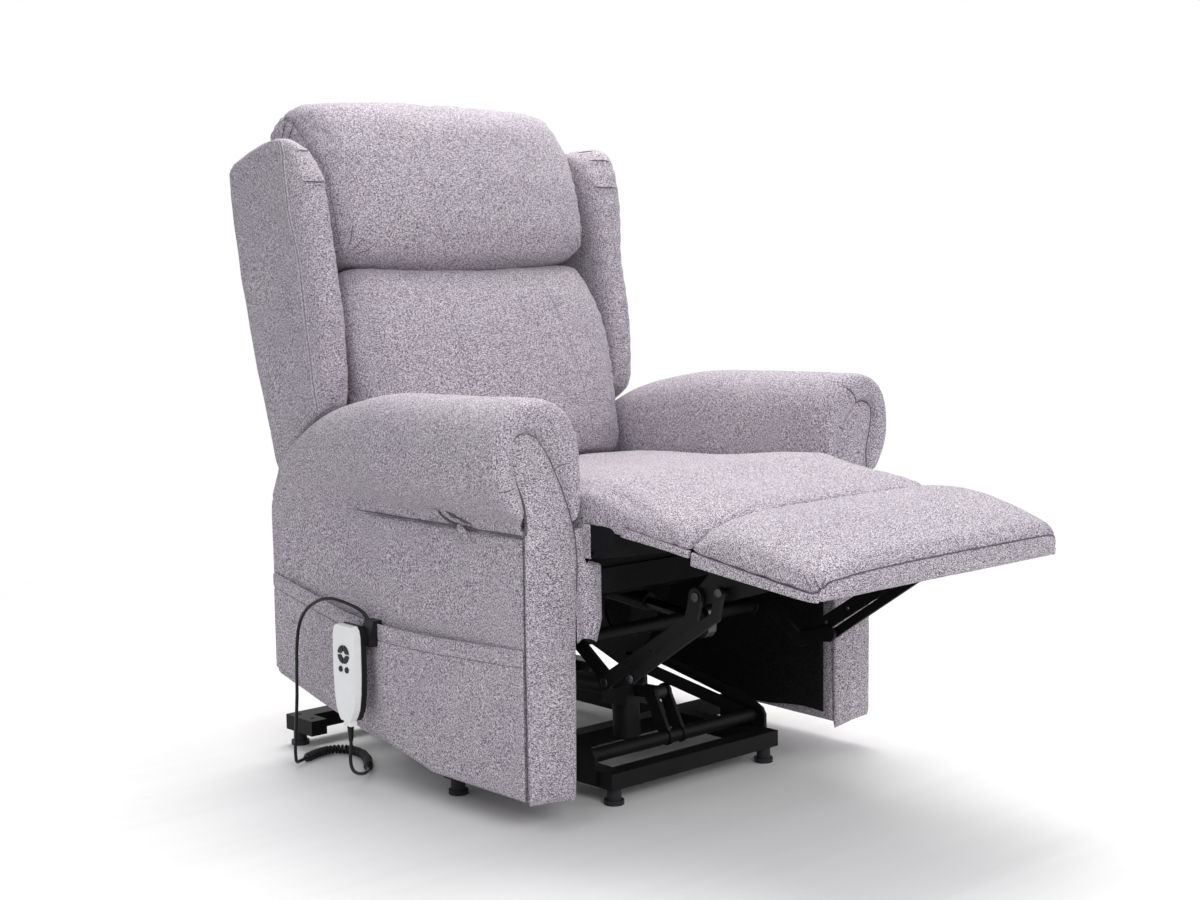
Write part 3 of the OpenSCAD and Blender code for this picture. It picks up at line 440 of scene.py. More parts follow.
def woven(name, dark, middle, light, contrast=1.0, sheen=0.15):
    """Flecked woven cloth: dashes along X, upright on the sides, and a slow drift of tone."""
    cloth = Finish(name, Sheen_Weight=sheen, Sheen_Roughness=0.6, Specular_IOR_Level=0.15)
    facing = cloth.node("ShaderNodeSeparateXYZ", None,
                        {"Vector": cloth.node("ShaderNodeTexCoord", out="Normal")})
    sideways = cloth.node("ShaderNodeMath", {"operation": "GREATER_THAN"},
                          {0: facing * facing, 1: 0.5})
    level = cloth.grain((420, 900, 940), 1.5, 0.6)
    upright = cloth.grain((940, 900, 440), 1.5, 0.6)
    weft = cloth.node("ShaderNodeMix", {"data_type": "FLOAT"}, {0: sideways, 2: level, 3: upright})
    speck = cloth.grain((1200, 1200, 1200), 1.0)
    fleck = (weft - 0.5) * (4.4 * contrast) + (speck - 0.5) * (2.2 * contrast) + 0.5
    colour = cloth.ramp(fleck, [(0.08, dark), (0.5, middle), (0.92, light)])
    drift = cloth.ramp(cloth.grain((5, 5, 5), 3, 0.55), [(0.3, (0.95, 0.94, 0.965)),
                                                         (0.7, (1.03, 1.025, 1.01))])
    cloth.feed("Base Color", cloth.blend(1.0, colour, drift, "MULTIPLY"))
    cloth.feed("Roughness", cloth.grain((60, 60, 60), 2) * 0.15 + 0.82)
    cloth.bump(weft + speck * 0.6 + cloth.grain((1300, 1300, 1300), 1) * 0.3, 0.45, 0.0011)
    return cloth.material


def satin_steel(name, colour, rough=0.42, metal=0.0):
    """Powder-coated steel with a faint orange peel."""
    coat = Finish(name, Specular_IOR_Level=0.14)
    cloud = coat.grain((14, 14, 14), 3)
    coat.feed("Base Color", coat.ramp(cloud, [(0.3, colour), (0.75,
                                                              tuple(c * 1.5 + 0.002
                                                                    for c in colour))]))
    coat.feed("Roughness", cloud * 0.2 + (rough - 0.1))
    coat.shader.inputs["Metallic"].default_value = metal
    coat.bump(coat.grain((700, 700, 700), 2), 0.12, 0.0004)
    return coat.material


def plastic(name, colour, rough, peel=0.05):
    shell = Finish(name, Specular_IOR_Level=0.5 if colour[0] > 0.1 else 0.25)
    cloud = shell.grain((30, 30, 30), 3)
    shell.feed("Base Color", shell.ramp(cloud, [(0.3, tuple(c * 0.96 for c in colour)),
                                                (0.7, colour)]))
    shell.feed("Roughness", cloud * 0.12 + (rough - 0.06))
    shell.bump(shell.grain((1400, 1400, 1400), 2), peel, 0.0003)
    return shell.material


def timber(name):
    plank = Finish(name, Specular_IOR_Level=0.3)
    rings = plank.grain((9, 60, 60), 4, 0.6, 1.5)
    plank.feed("Base Color", plank.ramp(rings, [(0.3, (0.36, 0.22, 0.11)), (0.5, (0.5, 0.34, 0.19)),
                                                (0.7, (0.6, 0.44, 0.27))]))
    plank.feed("Roughness", rings * 0.2 + 0.55)
    plank.bump(rings, 0.2, 0.0006)
    return plank.material


CLOTH = woven("grey_lilac_weave", (0.10, 0.083, 0.108), (0.355, 0.312, 0.357), (0.73, 0.68, 0.725),
              1.45)
# Seam shadow and seam shade: dark cloth colours for the cords, tucks and stitches laid along seams
# and folds, painted shade of the creases there.
SEAM_SHADOW = woven("seam_shadow", (0.05, 0.043, 0.055), (0.105, 0.093, 0.115), (0.19, 0.17, 0.2), 0.6)
SEAM_SHADE_SOFT = woven("seam_shade", (0.13, 0.115, 0.135), (0.24, 0.215, 0.25), (0.38, 0.345, 0.385),
                  0.7)
THREAD = woven("sewing_thread", (0.45, 0.42, 0.46), (0.70, 0.66, 0.71), (0.82, 0.78, 0.82), 0.5)
LINING = woven("black_liner", (0.004, 0.004, 0.005), (0.009, 0.009, 0.010), (0.018, 0.018, 0.020),
               0.6, 0.0)
STEEL = satin_steel("black_powder_coat", (0.004, 0.004, 0.0045), 0.52)
ROD = satin_steel("blackened_rod", (0.07, 0.07, 0.075), 0.3, 0.9)
RIVET = satin_steel("rivet_steel", (0.05, 0.05, 0.053), 0.3, 0.8)
MOTOR = plastic("actuator_housing", (0.014, 0.014, 0.016), 0.5, 0.12)
WHITE = plastic("white_shell", (0.88, 0.88, 0.875), 0.38)
BLACK = plastic("black_shell", (0.008, 0.008, 0.009), 0.42)
RUBBER = plastic("cord_jacket", (0.006, 0.006, 0.007), 0.3)
GLIDE = plastic("foot_glide", (0.016, 0.016, 0.018), 0.6, 0.2)
WOOD = timber("planed_softwood")
DUST_CLOTH = woven("black_dust_cloth", (0.004, 0.004, 0.004), (0.006, 0.006, 0.007),
                   (0.011, 0.011, 0.012), 0.5, 0.0)

by_slot = {"black_steel": STEEL, "actuator": MOTOR, "rod_steel": ROD, "timber": WOOD,
           "foot_plastic": GLIDE, "white_plastic": WHITE, "black_plastic": BLACK,
           "cord_black": RUBBER, "lining": LINING, "upholstery": CLOTH}
slots = {part["node"]: part["material_slot"] for part in frame["record"]["subparts"]}
for name, obj in frame["nodes"].items():
    obj.data.materials.clear()
    covered = name in ("seat_cross_rails", "seat_side_rails", "calf_board", "foot_board",
                       "seat_deck")
    wrapped = CLOTH if name == "back_wood_rails" else by_slot[slots[name]]
    obj.data.materials.append(DUST_CLOTH if covered else wrapped)

# ---------- camera ----------

eye = Vector((-1944.56, -1896.86 - MID, 809.17)) * MM
yaw, pitch, roll = math.radians(42.15), math.radians(6.12), math.radians(-0.72)
ahead = Vector((math.sin(yaw) * math.cos(pitch), math.cos(yaw) * math.cos(pitch), -math.sin(pitch)))
right = Vector((math.cos(yaw), -math.sin(yaw), 0))
up = right.cross(ahead)
right, up = (math.cos(roll) * right + math.sin(roll) * up,
             -math.sin(roll) * right + math.cos(roll) * up)
camera = bpy.data.objects.new("camera", bpy.data.cameras.new("camera"))
camera.data.sensor_width = 36.0
camera.data.lens = 55.02
camera.matrix_world = Matrix.Translation(eye) @ Matrix((right, up, -ahead)).transposed().to_4x4()
bpy.context.scene.collection.objects.link(camera)
bpy.context.scene.camera = camera

# ---------- cord ----------

CORD_R = 2.7
COIL_R = 5.0
CURLS = 34
CURL_STEPS = 14
OPENING = 26                                # steps in which the coil opens and closes
LOOK = 14                                   # distance over which the route's direction is taken
coil_z = COIL_R + CORD_R + 0.2
coil_route = [Vector((x, y, coil_z)) for x, y in ((-372, 558), (-340, 572), (-318, 576),
                                                  (-300, 572), (-287, 556), (-284, 536),
                                                  (-287, 514), (-300, 484), (-317, 457),
                                                  (-330, 440))]
first_dir = (coil_route[1] - coil_route[0]).normalized()
last_dir = (coil_route[-1] - coil_route[-2]).normalized()
lead_in = [(-367.6, 373, 224), (-367.6, 373, 240), (-367.7, 374, 254), (-369.4, 378, 266),
           (-375, 385, 275), (-383, 396, 282), (-390, 413, 287), (-395, 434, 289), (-399, 458, 284),
           (-401, 490, 267), (-402, 512, 240), (-402, 521, 206), (-402, 524, 166), (-401, 527, 126),
           (-400, 532, 88), (-399, 537, 58), (-398, 541, 36), (-396, 544, 20), (-393, 547, 11),
           coil_route[0] - 18 * first_dir, coil_route[0] - 6.4 * first_dir]
lead_out = [coil_route[-1] + 6.4 * last_dir, coil_route[-1] + 16 * last_dir,
            (-352, 419, 9), (-369, 409, 14), (-384, 400, 23), (-394, 392, 36), (-399, 386, 50),
            (-400, 382, 64), (-400, 382, 77)]


def coil_line():
    """The curly part: turns round its route that open from nothing and close again."""
    upward = Vector((0, 0, 1))
    lengths = [0.0]
    for a, b in zip(coil_route, coil_route[1:]):
        lengths.append(lengths[-1] + (b - a).length)
    total = lengths[-1]

    def spot(s):
        return Vector([lerp([(l, p[k]) for l, p in zip(lengths, coil_route)], s) for k in range(3)])

    out = []
    steps = CURLS * CURL_STEPS
    for i in range(steps + 1):
        s = total * i / steps
        along = (spot(min(total, s + LOOK)) - spot(max(0, s - LOOK))).normalized()
        side = along.cross(upward)
        turn = math.tau * i / CURL_STEPS
        r = COIL_R * ease(min(i, steps - i) / OPENING)
        out.append(spot(s) + r * (math.cos(turn) * upward + math.sin(turn) * side))
    return out


cord_path = smooth_path(lead_in, 5)[:-1] + coil_line() + smooth_path(lead_out, 5)
cord = fasten(tube("handset_cord", cord_path, CORD_R, 10), "chassis", RUBBER)
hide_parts("cord_coil", "cord_leads")
cord_points = [WHOLE @ p for p in cord_path]
cord_length = sum((b - a).length for a, b in zip(cord_points, cord_points[1:]))


# ---------- softness ----------

def crumple(p, size, seed=0.0):
    """Slow uneven swelling of stuffed cloth, about -1 to 1."""
    return noise.noise(Vector((p[0] / size + seed, p[1] / size, p[2] / size + 2 * seed)))


def gathers(along, away, pitch, reach, seed=0.0):
    """Small folds that run away from a seam and die out within their reach."""
    wobble = noise.noise(Vector((along / 47.0 + seed, 3.1, seed)))
    fold = math.sin(math.tau * along / pitch + 2.5 * wobble + seed)
    return fold * (0.5 + 0.5 * noise.noise(Vector((along / 31.0, seed,
                                                   7.7)))) * bell(max(0.0, away), reach)


def bake(obj, modifier):
    """Makes a modifier's result the mesh itself."""
    bpy.context.view_layer.objects.active = obj
    obj.select_set(True)
    bpy.ops.object.modifier_apply(modifier=modifier.name)
    obj.select_set(False)


def puff(obj, cap, pressure=4.0, where=WHOLE, reach=None, voxel=0.006, frames=20):
    """The cover is blown up as if stuffed: each point only moves outwards, within the cap."""
    remesh = obj.modifiers.new("even", "REMESH")
    remesh.mode, remesh.voxel_size = "VOXEL", voxel
    remesh.use_smooth_shade = True
    bake(obj, remesh)
    start = [v.co.copy() for v in obj.data.vertices]
    outward = [n.vector.copy() for n in obj.data.vertex_normals]
    cloth = obj.modifiers.new("cover", "CLOTH")
    cloth.settings.quality = 4
    cloth.settings.mass = 0.3
    cloth.settings.tension_stiffness = 18
    cloth.settings.compression_stiffness = 12
    cloth.settings.bending_stiffness = 0.6
    cloth.settings.use_pressure = True
    cloth.settings.uniform_pressure_force = pressure
    cloth.settings.effector_weights.gravity = 0
    cloth.collision_settings.use_collision = False
    cloth.point_cache.frame_start, cloth.point_cache.frame_end = 1, frames
    for f in range(1, frames + 1):
        bpy.context.scene.frame_set(f)
    shaped = obj.evaluated_get(bpy.context.evaluated_depsgraph_get())
    ends = [v.co.copy() for v in shaped.data.vertices]
    obj.modifiers.remove(cloth)
    bpy.context.scene.frame_set(1)
    limit, back = cap * MM, where.inverted()
    for v, a, b, n in zip(obj.data.vertices, start, ends, outward):
        far = limit * math.tanh(max(0.0, (b - a).dot(n)) / limit)
        v.co = a + n * (far * (reach(back @ a) if reach else 1.0))
    for p in obj.data.polygons:
        p.use_smooth = True


def reshape(obj, where, shape):
    """Moves each point of a mesh along its normal by shape(point in its own millimetres)."""
    back = where.inverted()
    normals = [n.vector.copy() for n in obj.data.vertex_normals]
    for v, n in zip(obj.data.vertices, normals):
        v.co = v.co + n * (shape(back @ v.co) * MM)
    obj.data.update()


def soft(obj, body, nodes):
    """An upholstered cover: gives it its cloth, hides the nodes that it replaces and fastens it to
    its body; given a tuple of bodies instead, it only bakes its place into its mesh.
    """
    dress(obj, CLOTH)
    if isinstance(body, tuple):
        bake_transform(obj)
    else:
        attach(obj, body)
    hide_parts(*nodes)


# ---------- back ----------

BOX_IN, BOX_OUT = 277.0, 363.0
CREASE = 341.0


def upright_ring(z, half_w, y0, y1, crown, bend, n=120, drop=None, rear=None):
    """A level slice of a back cushion: front at y0 with a crown, rear at y1."""
    ring = []
    mid, half = (y0 + y1) / 2, (y1 - y0) / 2
    for x, b in rounded(half_w, half, bend, n, rear):
        u = x / half_w
        y = mid + (b * (1 + crown * (1 - u * u) / half) if b < 0 else b)
        ring.append((-x, y, z + (drop(-u, z) if drop else 0)))
    return ring


def headrest():
    """Rows of (height, half width, front, rear, crown, squareness), sewn along both sides."""
    table = [(0.5, 236, 36, 106, 3, 3.4), (5, 246, 20, 114, 6, 3.7), (14, 253, 6, 120, 9, 4.2),
             (30, 258, -5, 123, 11, 4.6), (55, 263, -12, 123, 12, 4.8),
             (90, 266, -16, 123, 13, 4.8), (130, 268, -18, 123, 14, 4.8),
             (170, 268, -16, 123, 13, 4.8), (200, 267, -13, 127, 12, 4.6),
             (222, 267, -10, 164, 12, 4.4), (245, 267, -5, 176, 11, 4.2),
             (262, 267, 2, 175, 10, 4.0), (278, 266, 13, 164, 8, 3.9),
             (290, 264, 26, 150, 6, 3.9), (299, 259, 42, 134, 4, 3.7),
             (304, 249, 58, 116, 2, 3.4)]
    rows = [(CREASE + up, *row) for up, *row in table]

    def drop(u, z):
        top = (4 if u < 0 else 8) * u * u * ease((z - CREASE - 190) / 90)
        return (4 + 12 * u * u) * ease((CREASE + 55 - z) / 55) - top
    rings = [upright_ring(*row, drop=drop, rear=9 if row[0] > CREASE + 200 else None)
             for row in flowing(rows, 8)]
    obj = skin("headrest_cushion", rings, ON_BACK)
    puff(obj, 5, 3.0)
    side = [(20, 354), (16, 390), (9, 460), (14, 512), (34, 543), (60, 587), (70, 604), (86, 622),
            (108, 632), (138, 630), (160, 618)]
    tucks = []
    for s in (-1, 1):
        tucks += [[(s * 266, y0, z0), (s * 268, y1, z1)] for y0, z0, y1, z1 in
                  ((74, 612, 96, 588), (92, 626, 116, 596))]
        tucks += [[(s * x0, y0, CREASE + z0), (s * x1, y1, CREASE + z1)]
                  for x0, y0, z0, x1, y1, z1 in ((250, 2, 18, 232, -14, 46),
                                                 (256, 2, 34, 248, -12, 72),
                                                 (242, 8, 9, 216, -8, 26))]
    deep = grooves(tucks, 5.5, 3.2)
    line = grooves([[(s * 265, y, z) for y, z in side] for s in (-1, 1)], 4.5, 2.6)

    def fullness(p):
        x, y, z = p
        out = 2.2 * crumple(p, 70, 3.0) - deep(p) - line(p)
        out += 1.6 * gathers(z, abs(abs(x) - 263), 27, 22, 1.3)
        out += 2.0 * gathers(y + 0.6 * z, abs(abs(x) - 258), 22, 26, 4.0) * ease((z - 560) / 40)
        out += 1.2 * gathers(x, abs(z - CREASE - 4), 34, 18, 2.0)
        return out
    reshape(obj, ON_BACK, fullness)
    soft(obj, "back", ["headrest"])
    # The side seams and the tuck tubes are dark: painted shade in the creases along them.
    for s, tag in SIDES:
        seam(f"headrest_side_seam_{tag}", [(s * 268, y, z) for y, z in side], "back", ON_BACK, 0.9,
             4, obj, SEAM_SHADE_SOFT)
    folds("headrest_tuck_shade", tucks, "back", ON_BACK, obj, 0.7)


def back_cushion():
    """Rows as for the headrest, with two sewn channels down the front."""
    rows = [(4, 246, 30, 112, 3, 4.0), (10, 253, 11, 121, 7, 4.6), (34, 258, 0, 123, 13, 5.2),
            (80, 262, -2, 123, 17, 5.6), (120, 267, -3, 123, 18, 5.6), (160, 272, -3, 123, 19, 5.6),
            (215, 274, -3, 123, 19, 5.6), (255, 272, -1, 123, 17, 5.6), (292, 266, 2, 123, 14, 5.2),
            (316, 260, 9, 123, 11, 4.8), (330, 253, 18, 122, 8, 4.3), (337.5, 243, 31, 116, 4, 3.8)]

    def drop(u, z):
        return (4 + 12 * u * u) * ease((z - 285) / 55)
    rings = [upright_ring(*row, drop=drop) for row in flowing(rows, 8)]
    obj = skin("back_cushion_cover", rings, ON_BACK)
    puff(obj, 5, 3.0)
    channels = [[(-98, -18, 322), (-97, -20, 284), (-91, -21, 110), (-90, -16, 40)],
                [(124, -16, 322), (128, -18, 290), (161, -16, 100), (166, -12, 40)]]
    sewn = grooves(channels, 7, 1.5)

    def fullness(p):
        x, y, z = p
        out = 2.4 * crumple(p, 85, 9.0) - sewn(p)
        out += 1.6 * gathers(z, abs(abs(x) - 264), 30, 22, 6.1)
        out += 1.2 * gathers(x, abs(z - CREASE), 33, 18, 0.4)
        return out
    reshape(obj, ON_BACK, fullness)
    soft(obj, "back", ["back_cushion"])
    # The channel seams are dark: painted shade in the sewn channels.
    for k, path in enumerate(channels):
        seam(f"back_channel_seam_{k + 1}", path, "back", ON_BACK, 0.55, 6, obj, SEAM_SHADE_SOFT)


WING_IN = BOX_IN + 3
# The rear face of the back, as rows of (height, y).
REAR_CURVE = [(-125, 200), (60, 208), (235, 215), (390, 210), (530, 194), (595, 177)]


def wings():
    """Wings whose front edge runs from inner to outer, as rows of (height, y)."""
    low = [(54, 198), (72, 176), (88, 150), (102, 116), (112, 86), (122, 54), (134, 38), (160, 26),
           (200, 15), (256, 2), (300, -3), (352, -8)]
    inner = [*low, (400, -13), (448, -18), (482, -18), (505, -12), (529, 1), (545, 14),
             (556, 28), (566, 52), (572, 86), (574.5, 120)]
    outer = [*low, (400, -15), (448, -21), (482, -24), (505, -25), (529, -22), (545, -15),
             (556, -2), (566, 22), (572, 60), (574.5, 104)]
    for s, tag in SIDES:
        rings = []
        for z, y_in, y_out in flowing([(a[0], a[1], b[1]) for a, b in zip(inner, outer)], 6):
            y1 = lerp(REAR_CURVE, z) + 1 - 0.9 * max(0.0, z - 562)
            thin = lerp([(54, 0.74), (66, 0.93), (80, 1.0), (560, 1.0), (568, 0.96), (572, 0.86),
                         (574.5, 0.66)], z)
            ring = []
            for a, b in rounded(28 * thin, (y1 - y_out) / 2, 5.0, 96, 14.0):
                o = -s * a / 28
                y0 = y_in + (y_out - y_in) * ease((o + 1) / 2)
                t = (b / ((y1 - y_out) / 2) + 1) / 2
                y = y0 + (y1 - y0) * t
                swing = (12 if s < 0 else 19) * ease((z - 330) / 140) * ease((600 - z) / 60)
                flare = swing * ease(1 - (y - y0) / 120) * max(0.0, o)
                ring.append((s * (WING_IN + 28.3 + flare) - a, y, z))
            rings.append(ring)
        obj = skin(f"wing_cover_{tag}", rings, ON_BACK)
        stitch = [(124, 61), (190, 55), (254, 46.6), (320, 37), (380, 28), (440, 20), (500, 10),
                  (540, 4), (562, 12)]
        run = [(s * (WING_IN + 66), y, z) for z, y in stitch]
        pleats = [[(s * 334, -14, 527), (s * 316, -18, 532), (s * 298, -4, 535)],
                  [(s * 336, -22, 476), (s * 308, -26, 476), (s * 283, -16, 481)],
                  [(s * 322, 2, 560), (s * 310, 10, 562), (s * 298, 22, 560)]]
        deep = grooves(pleats, 4.5, 3.0)
        line = grooves([run], 5.0, 1.8)

        def fullness(p, s=s, deep=deep, line=line):
            x, y, z = p
            out = 1.4 * crumple(p, 60, 12.0 + s) - deep(p) - line(p)
            nose = y - lerp(inner, z)
            out += 1.6 * bell(nose, 18) + 1.0 * gathers(z, nose, 30, 26, 5.0 + s)
            return out
        reshape(obj, ON_BACK, fullness)
        soft(obj, "back", [f"wing_{tag}"])
        # The pleat tubes and the edge seam are dark: painted shade in the pleats and along the
        # seam.
        folds(f"wing_pleat_shade_{tag}", pleats, "back", ON_BACK, obj, 1.25)
        seam(f"wing_edge_seam_{tag}", run, "back", ON_BACK, 0.85, 5, obj, SEAM_SHADE_SOFT)
        for k, gap in ((1, 4.0), (2, -4.0)):
            stitches(f"wing_topstitch_{tag}_{k}", [(x, y + gap, z) for x, y, z in run], ON_BACK,
                     "back", THREAD, obj, 6.0, 4.8, 0.75)


def back_panel():
    rings = []
    for z in (-125, -124, -121, -116, -105, -90, -60, -20, 30, 84, 92, 130, 180, 235, 300, 360, 420,
              480, 530, 565, 582, 587, 589.5):
        half = 256.5 if z < 88 else 279.6
        y1 = lerp(REAR_CURVE, z)
        trim = 7 - 7 * ease(min(z + 125, 590 - z) / 10)
        ring = []
        for x, b in rounded(half - trim, (y1 - 175) / 2 - trim, 12, 120):
            u = x / half
            ring.append((-x, (175 + y1) / 2 + b + (4 * (1 - u * u) if b > 0 else 0), z))
        rings.append(ring)
    obj = skin("back_outer_cover", rings, ON_BACK, lambda p, n: 1.6 * crumple(p, 120, 21.0)
               * (1 if p[1] > 190 else 0))
    soft(obj, "back", ["back_panel"])
    # The outer seams are dark: painted shade along them.
    for s, tag in SIDES:
        seam(f"back_outer_seam_{tag}", [(s * 262, lerp(REAR_CURVE, z) + 1, z)
                                        for z in (100, 160, 235, 300, 390, 470, 530, 575)], "back",
             ON_BACK, 0.8, 6, obj)
    seam("back_outer_top_seam", [(x, lerp(REAR_CURVE, 575) + 3, 575)
                                 for x in (-262, -180, -90, 0, 90, 180, 262)], "back", ON_BACK, 0.8,
         6, obj)


# ---------- seat and leg rest ----------

# Rows of (y, height) along the middle of the seat, before its crown.
SEAT_TOP = [(-10, 478), (60, 476), (200, 464), (380, 456), (440, 450), (486, 438)]
DECK = 364.3


def pillow(y, half_w, z_low, z_edge, z_mid, near, far):
    """An upright slice of a pad: flat below, with a crown of its own roundness on each side."""
    top = []
    for i in range(241):
        t = math.pi * i / 240
        u = -math.cos(t)
        k = near if u < 0 else far
        top.append((half_w * u, z_edge + (z_mid - z_edge) * max(0.0, 1 - abs(u) ** k) ** (1 / k)))
    ring = evenly(top, 110)
    ring += [(half_w - 0.4 * k, z_edge + (z_low - z_edge) * (k + 1) / 4) for k in range(3)]
    ring += [(half_w * (0.97 - 1.94 * k / 16), z_low - 0.3) for k in range(17)]
    ring += [(-half_w + 0.4 * (2 - k), z_low + (z_edge - z_low) * (k + 1) / 4) for k in range(3)]
    return [(x, y, z) for x, z in ring]


def to_seat(s, z):
    """A leg rest point (distance forward, height) in the chair's own Y and Z."""
    return (LIP_Y - s * math.cos(SLOPE) - z * math.sin(SLOPE),
            LIP_Z - s * math.sin(SLOPE) + z * math.cos(SLOPE))


def seat_pad():
    """One cover over the seat, its front and the calf pad."""
    rear = [(486, 242, DECK + 10, 402, 436, 5, 5), (482, 250, DECK + 3, 404, 446, 6, 6),
            (474, 254, DECK, 404, 454, 8, 8)]
    rear += [(y, 256, DECK, 404, lerp(SEAT_TOP, y) + 11, 9, 11)
             for y in (455, 430, 380, 320, 260, 200, 140, 90)]
    rear += [(60, 256, DECK, 408, 487.5, 8, 11), (30, 256.5, DECK, 420, 489, 7, 10),
             (13, 256.5, DECK, 432, 489.5, 6, 10)]
    rings = [pillow(-row[0], *row[1:]) for row in flowing([(-row[0], *row[1:]) for row in rear], 9)]
    rings += [pillow(9, 257, 430, 441, 489.8, 6, 10), pillow(4, 257, 430, 441, 490, 6, 9.5),
              pillow(-3, 257, 430, 442, 490.4, 5.5, 9)]
    rest = [(0, 257, -3, 14, 60.2, 5, 9), (20, 257, -3, 13.4, 60, 4.2, 8.5),
            (40, 257, -2, 13, 59.6, 3.7, 8), (58, 257, -1, 12.8, 59.2, 3.5, 8),
            (64, 257, 8, 12.7, 59, 3.4, 8), (70, 257, 12.4, 12.7, 58.8, 3.4, 8),
            (100, 257, 12.4, 12.7, 58, 3.3, 8), (140, 257, 12.4, 12.7, 56.5, 3.2, 8.5),
            (168, 257, 12.4, 12.7, 54, 3.1, 9), (182, 257, 12.4, 12.7, 50.5, 3.0, 10),
            (190, 256, 12.6, 13, 46, 2.8, 11), (CALF_LEN - 0.5, 253, 14, 15, 39, 2.6, 12)]
    for row in flowing(rest, 9):
        rings.append([(x, *to_seat(row[0], z)) for x, y, z in pillow(0, *row[1:])])
    obj = skin("seat_cover", rings, WHOLE)

    def held(p):
        s, z = LIP_Y - p[1], p[2] - LIP_Z
        z = z * math.cos(SLOPE) + s * math.sin(SLOPE)
        return ease((z - 14) / 22) if p[1] < 30 else ease((p[2] - 430) / 20)
    puff(obj, 5, 2.0, WHOLE, held)
    pulls = []
    for s in (-1, 1):
        for x0, d0, x1, d1 in ((252, 194, 226, 172), (256, 188, 242, 156), (248, 194, 214, 184)):
            pulls.append([(s * x0, *to_seat(d0, 28)), (s * x1, *to_seat(d1, 46))])
    deep = grooves(pulls, 5.0, 2.4)

    def swell(p):
        x, y, z = p
        out = 2.6 * crumple(p, 90, 31.0) - deep(p)
        out += 1.5 * gathers(y, abs(abs(x) - 256), 34, 20, 5.5)
        out += 1.4 * gathers(x, abs(y + 200), 30, 18, 3.3) if z > 425 else 0
        return out if z > 436 - 0.14 * max(0.0, -y) or y > 20 else 0.35 * out
    reshape(obj, WHOLE, swell)
    soft(obj, ("chassis", "calf_rest", tuple(WHOLE @ Vector((0, 26, 480))),
               tuple(WHOLE @ Vector((0, -52, 474)))), ["seat_cushion", "calf_pad"])
    # A near-black closed body under the front lip of the seat, where the leg rest turns.
    rings = []
    for x in spread(-255.5, 255.5, 40):
        r = (47 + 9 * (1 - (x / 256) ** 2)) * (0.985 if abs(x) == 255.5 else 1)
        ring = [(x, LIP_Y - r * math.sin(math.radians(a)), LIP_Z - r * math.cos(math.radians(a)))
                for a in range(0, 91, 10)]
        ring += [(x, LIP_Y - 20, LIP_Z + 1), (x, 40, LIP_Z + 1), (x, 40, DECK - 0.9),
                 (x, 11.4, DECK - 0.9), (x, 11.4, LIP_Z - r - 2)]
        rings.append(ring)
    fasten(skin("seat_front_black_roll", rings), "chassis", DUST_CLOTH)
    for s, tag in SIDES:
        rings = []
        for x, r in ((254.2, 46.6), (254.6, 47.5), (256.2, 47.5), (256.7, 46.6)):
            front = -9 + 0.1 * (r - 47)
            ring = [(-s * x, max(front, LIP_Y - r * math.sin(math.radians(a))),
                     LIP_Z - r * math.cos(math.radians(a))) for a in range(0, 91, 5)]
            ring += [(-s * x, front, LIP_Z + 1), (-s * x, 24, LIP_Z + 1), (-s * x, 24, LIP_Z - r)]
            rings.append(ring)
        fasten(skin(f"seat_front_corner_{tag}", rings), "chassis", CLOTH)


SKIRT_X = 253.2


def skirt(name, body, rows):
    """A cloth strip down both edges of a leg rest board: rows of (s, bottom, top)."""
    for side, tag in SIDES:
        rings = []
        for s, z0, z1 in flowing(rows, 10):
            end = min(s - rows[0][0], rows[-1][0] - s)
            thin = 0.6 + 0.4 * ease(end / 5)
            rings.append([(side * SKIRT_X - a, -s, (z0 + z1) / 2 + b)
                          for a, b in rounded(4.0 * thin, (z1 - z0) / 2, 7, 32)])
        fasten(skin(f"{name}_{tag}", rings, ON_REST, flip=True), body, CLOTH)


